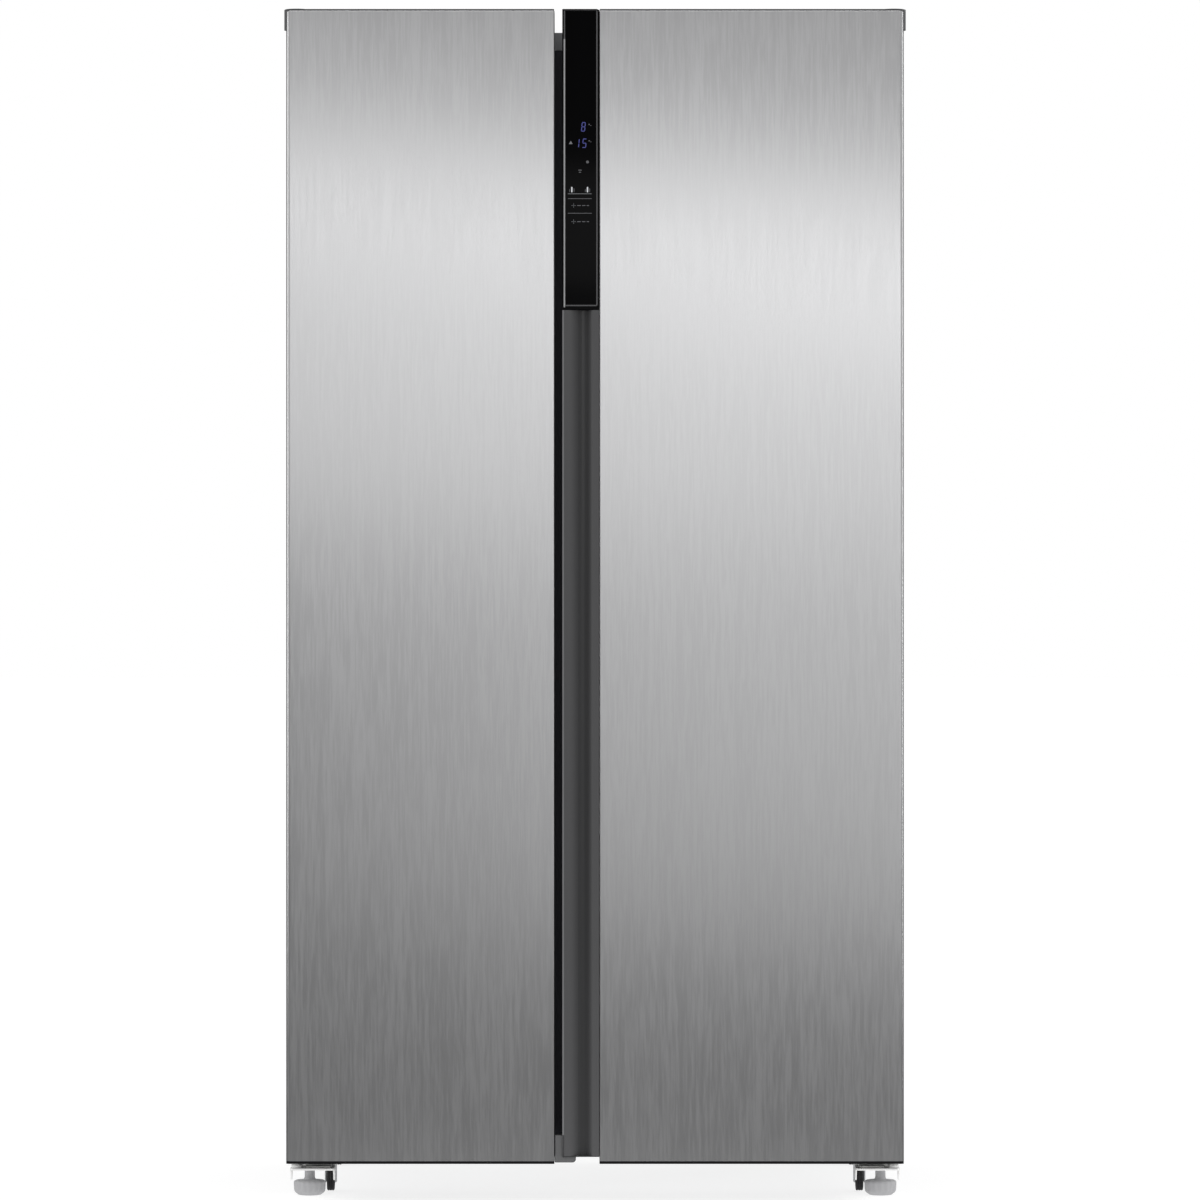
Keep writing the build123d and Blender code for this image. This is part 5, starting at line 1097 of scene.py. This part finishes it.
def inner_box(prefix):
    """Liner of one compartment: loops from the front to the back, the last ones shrinking round the back edge.
    Its faces look into the compartment, and the front end stays open."""
    low, high = ROOMS[prefix]
    radius = 16 * MM
    bends = np.linspace(30, 115, 24) * MM
    turn = np.radians(np.linspace(0, 90, 7))
    mouth = 3 * MM
    depth = np.concatenate([[low[1] + 0.1 * MM], low[1] + 0.1 * MM + mouth * (1 - np.cos(turn)), bends,
                            high[1] - radius + radius * np.sin(turn)])
    inset = np.concatenate([[0.4 * MM - LINER_LIP], -mouth * (1 - np.sin(turn)), np.zeros(len(bends)),
                            radius * (1 - np.cos(turn))])
    rings = np.stack([place(round_rectangle((floor_height(y, low) + d, low[0] + d), (high[2] - d, high[0] - d),
                                            max(radius - d, 0.5 * MM), 7), y, 1) for y, d in zip(depth, inset)])
    points, faces = capped(rings)
    faces = [face[::-1] for face in faces[:-2] + faces[-1:]]
    piece(prefix + "_inner_box", (points, faces), "cabinet", WHITE, (prefix + "_liner",),
          wall=2 * MM)


def foam_jacket(prefix):
    """Foam round one compartment: a cup between the inner box and the wrapper, up to the middle wall, that
    leaves out the machine space. Loops run from the inner end round the mouth to the outer end."""
    low, high = ROOMS[prefix]
    middle = (ROOMS["freezer"][1][0] + ROOMS["fridge"][0][0]) / 2
    x0 = shell_low[0] + 1.2 * MM if prefix == "freezer" else middle
    x1 = middle if prefix == "freezer" else shell_high[0] - 1.2 * MM
    mouth, gap = low[1] + 3 * MM, 3 * MM
    bottom, machine_top = shell_low[2] + 3 * MM, box("back_panel")[0][2] + 2 * MM
    loops = [(y, (floor_height(y, low) - gap, low[0] - gap), (high[2] + gap, high[0] + gap), 18 * MM)
             for y in (high[1] + gap, RAMP_STOP, RAMP_START, mouth)]
    loops += [(y, (z, x0), (shell_high[2] - 1.5 * MM, x1), 2 * MM)
              for y, z in ((mouth, bottom), (85 * MM, bottom), (143 * MM, machine_top), (281 * MM, machine_top))]
    rings = np.stack([place(round_rectangle(a, b, r, 7), y, 1) for y, a, b, r in loops])
    piece(prefix + "_foam_jacket", capped(rings), "cabinet", FOAM, (prefix + "_foam",))


for prefix in ROOMS:
    inner_box(prefix)
    foam_jacket(prefix)
print("inner boxes", len(ROOMS))

# %% Runners
DRAWERS = {"freezer": ("freezer_drawer_lower", "freezer_drawer_upper"),
           "fridge": ("crisper_drawer_lower", "crisper_drawer_upper")}
LIP_HEIGHT = 14 * MM
for prefix, (low, high) in ROOMS.items():
    parts = []
    rear = box(prefix + "_shelves")[1][1]
    rails = [(far[2] - LIP_HEIGHT, low[1] + 43 * MM, far[1]) for far in (box(name)[1] for name in DRAWERS[prefix])]
    rails += [(level, low[1] + 106 * MM, rear) for level in levels(prefix + "_shelves")]
    for level, start, end in rails:
        for x0, x1 in ((low[0] - 0.5 * MM, low[0] + 10 * MM), (high[0] - 10 * MM, high[0] + 0.5 * MM)):
            parts.append(slab((x0, start, level - 8 * MM), (x1, end, level - 0.05 * MM), axis=1,
                              corner=2.5 * MM, roll=2.2 * MM, steps=4))
    piece(prefix + "_runners", joined(parts), "cabinet", WHITE)
    print(prefix, "runners", len(parts))

# %% [markdown]
# ## Shelves and drawers
# A shelf is a sheet of toughened glass with ground edges, held at the front in a moulded bar. A drawer is one clear
# moulding: a thick front with a grip rolled over its top, thin walls with round rear corners, and lips that hang
# on the runners.

# %% Glass and front bars
bar_low, bar_high = box("shelf_trims")
bar_front, bar_back = bar_low[1], bar_high[1]
for prefix in ROOMS:
    low, high = box(prefix + "_shelves")
    plates, bars = [], []
    for level in levels(prefix + "_shelves"):
        plates.append(slab((low[0], low[1] - 6 * MM, level), (high[0], high[1], level + 4 * MM), corner=3 * MM,
                           roll=0.9 * MM))
        top = level + 12 * MM
        section = softened([(bar_back, level), (bar_back, level + 2.6 * MM), (bar_back - 2.5 * MM, level + 6.4 * MM),
                            (bar_back - 4 * MM, top), (bar_front, top), (bar_front, level)],
                           mm(0.8, 0.8, 1.2, 2.0, 3.2, 3.2))
        bars.append(prism(section, low[0], high[0], 0, 0.5 * MM))
    piece(prefix + "_glass_plates", joined(plates), "cabinet", GLASS, (prefix + "_shelves",))
    piece(prefix + "_shelf_bars", joined(bars), "cabinet", SILVER,
          ("shelf_trims",) if prefix == "freezer" else ())
print("shelves", {prefix: len(levels(prefix + "_shelves")) for prefix in ROOMS})

# %% Drawers
def clear_drawer(name):
    """One drawer between its node's corners: tray, side lips, thick front and rolled grip."""
    low, high = box(name)
    y, top, lip = low[1], high[2], 8 * MM
    left, right = low[0] + lip, high[0] - lip
    parts = [tray((left, y + 3 * MM, low[2]), (right, high[1], top), 3 * MM, 12 * MM),
             slab((left - 0.5 * MM, y + 0.8 * MM, low[2] + 1 * MM), (right + 0.5 * MM, y + 4 * MM, top - 17 * MM),
                  axis=1, corner=6 * MM, roll=1.2 * MM)]
    grip = softened([(y, top), (y, top - 16 * MM), (y + 2.6 * MM, top - 16 * MM), (y + 3.2 * MM, top - 3.4 * MM),
                     (y + 11 * MM, top - 3.0 * MM), (y + 11 * MM, top)], mm(2.4, 1.0, 1.0, 1.6, 1.0, 1.0))
    parts.append(prism(grip, left - 0.5 * MM, right + 0.5 * MM, 0, 0.5 * MM))
    for x0, x1 in ((low[0], left + 0.6 * MM), (right - 0.6 * MM, high[0])):
        parts.append(slab((x0, y + 4 * MM, top - LIP_HEIGHT), (x1, high[1] - 12 * MM, top), axis=1,
                          corner=1.4 * MM, roll=1.0 * MM))
    piece(name + "_tray", joined(parts), name, CLEAR, (name,), angle=40)


for names in DRAWERS.values():
    for name in names:
        clear_drawer(name)
        print(name, np.round(np.subtract(*box(name)[::-1]) / MM, 1))

# %% Lamp covers
low, high = box("interior_lights")
length = 150 * MM
covers = [slab((x0, low[1], low[2]), (x0 + length, high[1], high[2] + 0.5 * MM), corner=10 * MM, roll=3.5 * MM)
          for x0 in (low[0], high[0] - length)]
piece("lamp_covers", joined(covers), "cabinet", LAMP, ("interior_lights",))
print("lamp covers", len(covers))

# %% [markdown]
# ## Cabinet from outside
# The wrapper is one painted sheet folded over both sides and the top, with its front edge folded back on itself.
# The back is a thin sheet that would drum, so long beads are pressed into it. The machine space is closed by a
# sheet with louvres: each one is slit along its lower edge and bulged out, which lets air through but no rain of
# dust. Both sheets are height fields: a grid in X and Z whose depth is a formula.

# %% Wrapper
def outward_sheet(points):
    """Open sheet through a grid of points, with its faces turned round so that they look out."""
    rows, columns = points.shape[:2]
    return points.reshape(-1, 3), grid_faces(rows, columns, False)[:, ::-1].tolist()


turn, hem = 3 * MM, 1.3 * MM
side_heights = np.linspace(shell_low[2], shell_high[2] - turn, 11)[1:-1]
side_path = np.concatenate([
    [(shell_high[0], shell_low[2])], np.stack([np.full(len(side_heights), shell_high[0]), side_heights], 1),
    arc((shell_high[0] - turn, shell_high[2] - turn), turn, 0, 90, 6),
    arc((shell_low[0] + turn, shell_high[2] - turn), turn, 90, 180, 6),
    [(shell_low[0], shell_low[2])]])
rows = [(2.9 * MM, shell_low[1])] + bend((hem, shell_low[1] + hem), hem, 270, 180)
rows += [(0.0, y) for y in np.linspace(shell_low[1] + 2 * MM, shell_high[1] - 0.05 * MM, 8)]
grid = []
for inset, y in rows:
    path = side_path + inward_normals(side_path) * inset
    grid.append(np.stack([path[:, 0], np.full(len(path), y), path[:, 1]], axis=1))
piece("cabinet_wrapper", outward_sheet(np.stack(grid)), "cabinet", SHELL_PAINT, ("cabinet_shell",),
      wall=SHEET)
piece("shell_front_flange", slab((shell_low[0] + 2 * MM, shell_low[1] - 0.9 * MM, shell_high[2] - 26.5 * MM),
                                 (shell_high[0] - 2 * MM, shell_low[1] + 0.1 * MM, shell_high[2] - 0.2 * MM), axis=0,
                                 corner=0.4 * MM), "cabinet", SHELL_PAINT)
print("wrapper", len(rows), "rows of", len(side_path))

# %% Back sheet with pressed beads
def soft_step(t):
    """3t^2 - 2t^3 between 0 and 1."""
    t = np.clip(t, 0, 1)
    return t * t * (3 - 2 * t)


def bead_height(x, z, beads, half_width, tall):
    """Height of round beads along upright lines (x, z0, z1): soft_step of 1.25 * (1 - distance / half_width)."""
    total = np.zeros(np.broadcast(x, z).shape)
    for bead_x, z0, z1 in beads:
        distance = np.hypot(x - bead_x, z - np.clip(z, z0, z1))
        total = np.maximum(total, soft_step(1.25 * (1 - distance / half_width)))
    return total * tall


back_low, back_high = box("back_panel")
cover_low, cover_high = box("control_cover")
well_low, well_high = cover_low + 14 * MM, cover_high - 14 * MM
BEAD_X = np.array([-390, -250, 0, 250, 390]) * MM
BEAD_HALF, BEAD_RISE, WELL_DEPTH = mm(11, 3.2, 32)
bead_ends = np.array([back_low[2] + 45 * MM, cover_low[2] - 60 * MM, cover_high[2] + 50 * MM, back_high[2] - 55 * MM])
beads = [(x, *ends) for x in BEAD_X for ends in (bead_ends[:2], bead_ends[2:])]


def grid_lines(axis, count, centres):
    """Places of grid lines along X or Z: even ones, eleven over each bead, and two at each wall of the well."""
    walls = [well_low[axis], well_low[axis] + 1 * MM, well_high[axis] - 1 * MM, well_high[axis]]
    fine = (centres[:, None] + np.linspace(-BEAD_HALF, BEAD_HALF, 11)).ravel()
    even = np.linspace(back_low[axis], back_high[axis], count)
    return np.unique(np.round(np.concatenate([even, fine, walls]), 5))


x, z = np.meshgrid(grid_lines(0, 15, BEAD_X), grid_lines(2, 19, bead_ends))
height = bead_height(x, z, beads, BEAD_HALF, BEAD_RISE)
in_well = ((x > well_low[0] + 0.5 * MM) & (x < well_high[0] - 0.5 * MM)
           & (z > well_low[2] + 0.5 * MM) & (z < well_high[2] - 0.5 * MM))
height = np.where(in_well, -WELL_DEPTH, height)
piece("back_sheet", outward_sheet(np.stack([x, back_high[1] + height, z], axis=2)), "cabinet",
      GALVANISED, ("back_panel",), wall=SHEET)
print("back sheet", x.shape)

# %% Plugs of the foam holes
plug = profile_mm([(0.5, -0.5), (15, -0.5), (15, 1.2), (14, 2.0), (10, 2.0), (9, 1.0), (0.5, 1.0)], back_high[1])
plugs = [spun(plug, (x * MM, 0, z * MM), 1, 40) for z in (420, 1180) for x in (-320, 320)]
piece("foam_hole_plugs", joined(plugs), "cabinet", CAP)
print("plugs", len(plugs))

# %% Machine space cover with louvres
rear_low, rear_high = box("rear_cover")
fan_low, fan_high = box("condenser_fan_motor")
LOUVRES, LOUVRE_ROWS = 6, 7
PITCH, MARGIN, GAP = mm(18, 14, 18)
column_pitch = (rear_high[0] - rear_low[0] - 2 * MARGIN + GAP) / LOUVRES
starts = rear_low[0] + MARGIN + column_pitch * np.arange(LOUVRES)
width = column_pitch - GAP
slots = (fan_low[2] + fan_high[2]) / 2 + PITCH * (np.arange(LOUVRE_ROWS) - (LOUVRE_ROWS - 1) / 2)
side_steps = np.array([0, 1.5, 3.5, 6, 9])
columns = np.unique(np.round(np.concatenate([
    [rear_low[0]], (starts[:, None] + side_steps * MM).ravel(), (starts[:, None] + width - side_steps * MM).ravel(),
    [rear_high[0]]]), 6))
rise_steps = np.array([0, 0.1, 2.2, 4.4, 6.6, 8.6, 10.4]) * MM
bulge = np.array([0, 1.0, 0.97, 0.82, 0.52, 0.20, 0.0])
rows = np.concatenate([[rear_low[2], slots[0] - 6 * MM], (slots[:, None] + rise_steps).ravel(),
                       [rear_high[2] - 6 * MM, rear_high[2]]])
lift = np.concatenate([[0, 0], np.tile(bulge, LOUVRE_ROWS), [0, 0]])
offset = columns[:, None] - starts[None]
edge = np.minimum(offset, width - offset)
across = soft_step(np.clip(edge, 0, None).max(axis=1) / (side_steps[-1] * MM))
height = lift[:, None] * across[None] * 5.5 * MM
x, z = np.meshgrid(columns, rows)
points, faces = outward_sheet(np.stack([x, rear_high[1] + height, z], axis=2))
faces = np.array(faces)
slit = np.ptp(points[faces][:, :, 2], axis=1) < 0.5 * MM
mouth = slit & (height.ravel()[faces].max(axis=1) > 1.2 * MM)
piece("louvred_cover", (points, faces[~mouth].tolist()), "cabinet", GALVANISED, ("rear_cover",),
      wall=1.0 * MM)
print("louvres", LOUVRES * LOUVRE_ROWS, "mouth faces", int(mouth.sum()))

# %% Cover of the control board
lid_profile = [(0, cover_low[1] - 0.6 * MM), (0, cover_low[1] + 3.0 * MM)]
lid_profile += bend((5 * MM, cover_low[1] + 5.0 * MM), 5 * MM, 180, 90, 6)
lid_profile = [(inset, min(level, cover_high[1])) for inset, level in lid_profile]
lid_profile += [(20 * MM, cover_high[1]), (22 * MM, cover_high[1] - 1.4 * MM), (26 * MM, cover_high[1] - 1.4 * MM)]
piece("control_lid", ringed(cover_low[[2, 0]], cover_high[[2, 0]], 12 * MM, lid_profile, axis=1, steps=8), "cabinet",
      GALVANISED, ("control_cover",))
sunk = profile_mm([(0.4, -3), (4, -3), (4, -1.0), (2.6, -0.1), (0.4, -0.02)], cover_high[1])
proud = profile_mm([(0.4, -1), (4, -1), (4, 1.2), (2.6, 2.2), (0.4, 2.3)], rear_high[1])
screws = [(sunk, x, z) for x in (cover_low[0] + 10 * MM, cover_high[0] - 10 * MM)
          for z in (cover_low[2] + 10 * MM, cover_high[2] - 10 * MM)]
screws += [(proud, x, z) for x in np.linspace(rear_low[0] + 7 * MM, rear_high[0] - 7 * MM, 5)
           for z in (rear_low[2] + 6 * MM, rear_high[2] - 6 * MM)]
piece("back_screws", joined([spun(head, (x, 0, z), 1, 24) for head, x, z in screws]), "cabinet", ZINC)
print("screws", len(screws))

# %% [markdown]
# ## Camera, floor and light
# The view is square on to the doors from far off, so nothing converges. The light is a stack of three wide, low
# soft boxes in front, one at each side and one on top. The drawn steel shows the front ones as a broad bright band
# at head height that fades towards the floor. The pale floor glows only for the camera and near the object.

# %% Camera
VIEW_DISTANCE, SENSOR = 9.0, 36.0
FRAME_WIDTH = 1.7573  # metres that the view covers in the plane of the doors
AIM_X, AIM_Z = 0.0073, 0.8814
camera_data = bpy.data.cameras.new("front_view")
camera_data.sensor_width = SENSOR
camera_data.lens = SENSOR * VIEW_DISTANCE / FRAME_WIDTH
camera_data.clip_end = 200.0
camera = bpy.data.objects.new("front_view", camera_data)
camera.location = (AIM_X, front - VIEW_DISTANCE, AIM_Z)
camera.rotation_euler = (math.radians(90), 0, 0)
collection.objects.link(camera)
bpy.context.scene.camera = camera
print("lens", round(camera_data.lens, 1), "mm")

# %% Floor
FLOOR_REACH = 60.0
SEEN_GLOW = 0.79  # what the camera sees of the floor, and what shows through glass
NEAR_GLOW, NEAR_REACH, GLOSSY_SHARE = 1.6, 1.6, 0.22  # light that reaches the object from the floor around it


def seen_directly(tree, rays):
    """1 for rays from the camera, also through glass."""
    return math_node(tree, "MAXIMUM", rays["Is Camera Ray"], rays["Is Transmission Ray"])


floor_mesh = bpy.data.meshes.new("studio_floor")
floor_mesh.from_pydata([(-FLOOR_REACH, -FLOOR_REACH, 0), (FLOOR_REACH, -FLOOR_REACH, 0),
                        (FLOOR_REACH, FLOOR_REACH, 0), (-FLOOR_REACH, FLOOR_REACH, 0)], [], [(0, 1, 2, 3)])
floor = bpy.data.objects.new("studio_floor", floor_mesh)
collection.objects.link(floor)
floor_look = bpy.data.materials.new("pale_floor")
floor_look.use_nodes = True
tree = floor_look.node_tree
tree.nodes.clear()
rays = tree.nodes.new("ShaderNodeLightPath").outputs
matt = tree.nodes.new("ShaderNodeBsdfDiffuse")
matt.inputs["Color"].default_value = (0.29, 0.29, 0.29, 1)
glow = tree.nodes.new("ShaderNodeEmission")
where = tree.nodes.new("ShaderNodeTexCoord")
distance = tree.nodes.new("ShaderNodeVectorMath")
distance.operation = "LENGTH"
tree.links.new(where.outputs["Object"], distance.inputs[0])
near = math_node(tree, "SUBTRACT", 1.0, math_node(tree, "DIVIDE", distance.outputs["Value"], NEAR_REACH))
glossy = math_node(tree, "MULTIPLY", rays["Is Glossy Ray"], GLOSSY_SHARE)
bounced = math_node(tree, "ADD", rays["Is Diffuse Ray"], glossy)
near = math_node(tree, "MULTIPLY", math_node(tree, "MAXIMUM", near, 0.0), bounced)
seen = math_node(tree, "MULTIPLY", seen_directly(tree, rays), SEEN_GLOW)
near = math_node(tree, "MULTIPLY", near, NEAR_GLOW)
tree.links.new(math_node(tree, "ADD", seen, near), glow.inputs["Strength"])
both = tree.nodes.new("ShaderNodeAddShader")
out = tree.nodes.new("ShaderNodeOutputMaterial")
tree.links.new(matt.outputs[0], both.inputs[0])
tree.links.new(glow.outputs[0], both.inputs[1])
tree.links.new(both.outputs[0], out.inputs["Surface"])
floor_mesh.materials.append(floor_look)

# %% World
WORLD_LIGHT, WORLD_SEEN = 0.75, 1.0
world = bpy.data.worlds.new("studio")
bpy.context.scene.world = world
world.use_nodes = True
tree = world.node_tree
tree.nodes.clear()
rays = tree.nodes.new("ShaderNodeLightPath").outputs
level = tree.nodes.new("ShaderNodeMix")
level.data_type = "FLOAT"
level.inputs[2].default_value = WORLD_LIGHT
level.inputs[3].default_value = WORLD_SEEN
seen = math_node(tree, "MAXIMUM", seen_directly(tree, rays), rays["Is Glossy Ray"])
tree.links.new(seen, level.inputs["Factor"])
sky = tree.nodes.new("ShaderNodeBackground")
sky.inputs["Color"].default_value = (1, 1, 1, 1)
tree.links.new(level.outputs[0], sky.inputs["Strength"])
out = tree.nodes.new("ShaderNodeOutputWorld")
tree.links.new(sky.outputs[0], out.inputs["Surface"])


# %% Soft boxes
def soft_box(name, size, power, place_at, aim, roll=0.0):
    """Rectangular lamp at a place, turned to look at a point and rolled about that line."""
    data = bpy.data.lights.new(name, "AREA")
    data.shape = "RECTANGLE"
    data.size, data.size_y = size
    data.energy = power
    lamp = bpy.data.objects.new(name, data)
    direction = Vector(aim) - Vector(place_at)
    turn = direction.to_track_quat("-Z", "Y").to_matrix().to_4x4() @ Matrix.Rotation(math.radians(roll), 4, "Z")
    lamp.matrix_world = Matrix.Translation(place_at) @ turn
    lamp.visible_camera = False
    collection.objects.link(lamp)


soft_box("band", (3.4, 0.22), 7.4, (0.3, -2.7, 1.545), (0, 0, 1.395), roll=-5)
soft_box("band_fill", (3.4, 0.40), 5.4, (0.3, -2.7, 1.225), (0, 0, 1.075))
soft_box("low_fill", (3.4, 0.87), 8.9, (1.2, -2.7, 0.635), (0, 0, 0.635))
soft_box("left_side", (1.2, 2.0), 30, (-3.6, -1.0, 1.2), (0, 0, 1.0))
soft_box("right_side", (0.6, 2.2), 26, (3.6, -0.15, 1.2), (0, 0, 1.0))
soft_box("top", (2.4, 0.4), 16, (0, -0.9, 3.4), (0, -0.3, 1.7))
print("lamps", len(bpy.data.lights))

# %% Render settings and finish
bpy.context.scene.view_settings.view_transform = "Standard"
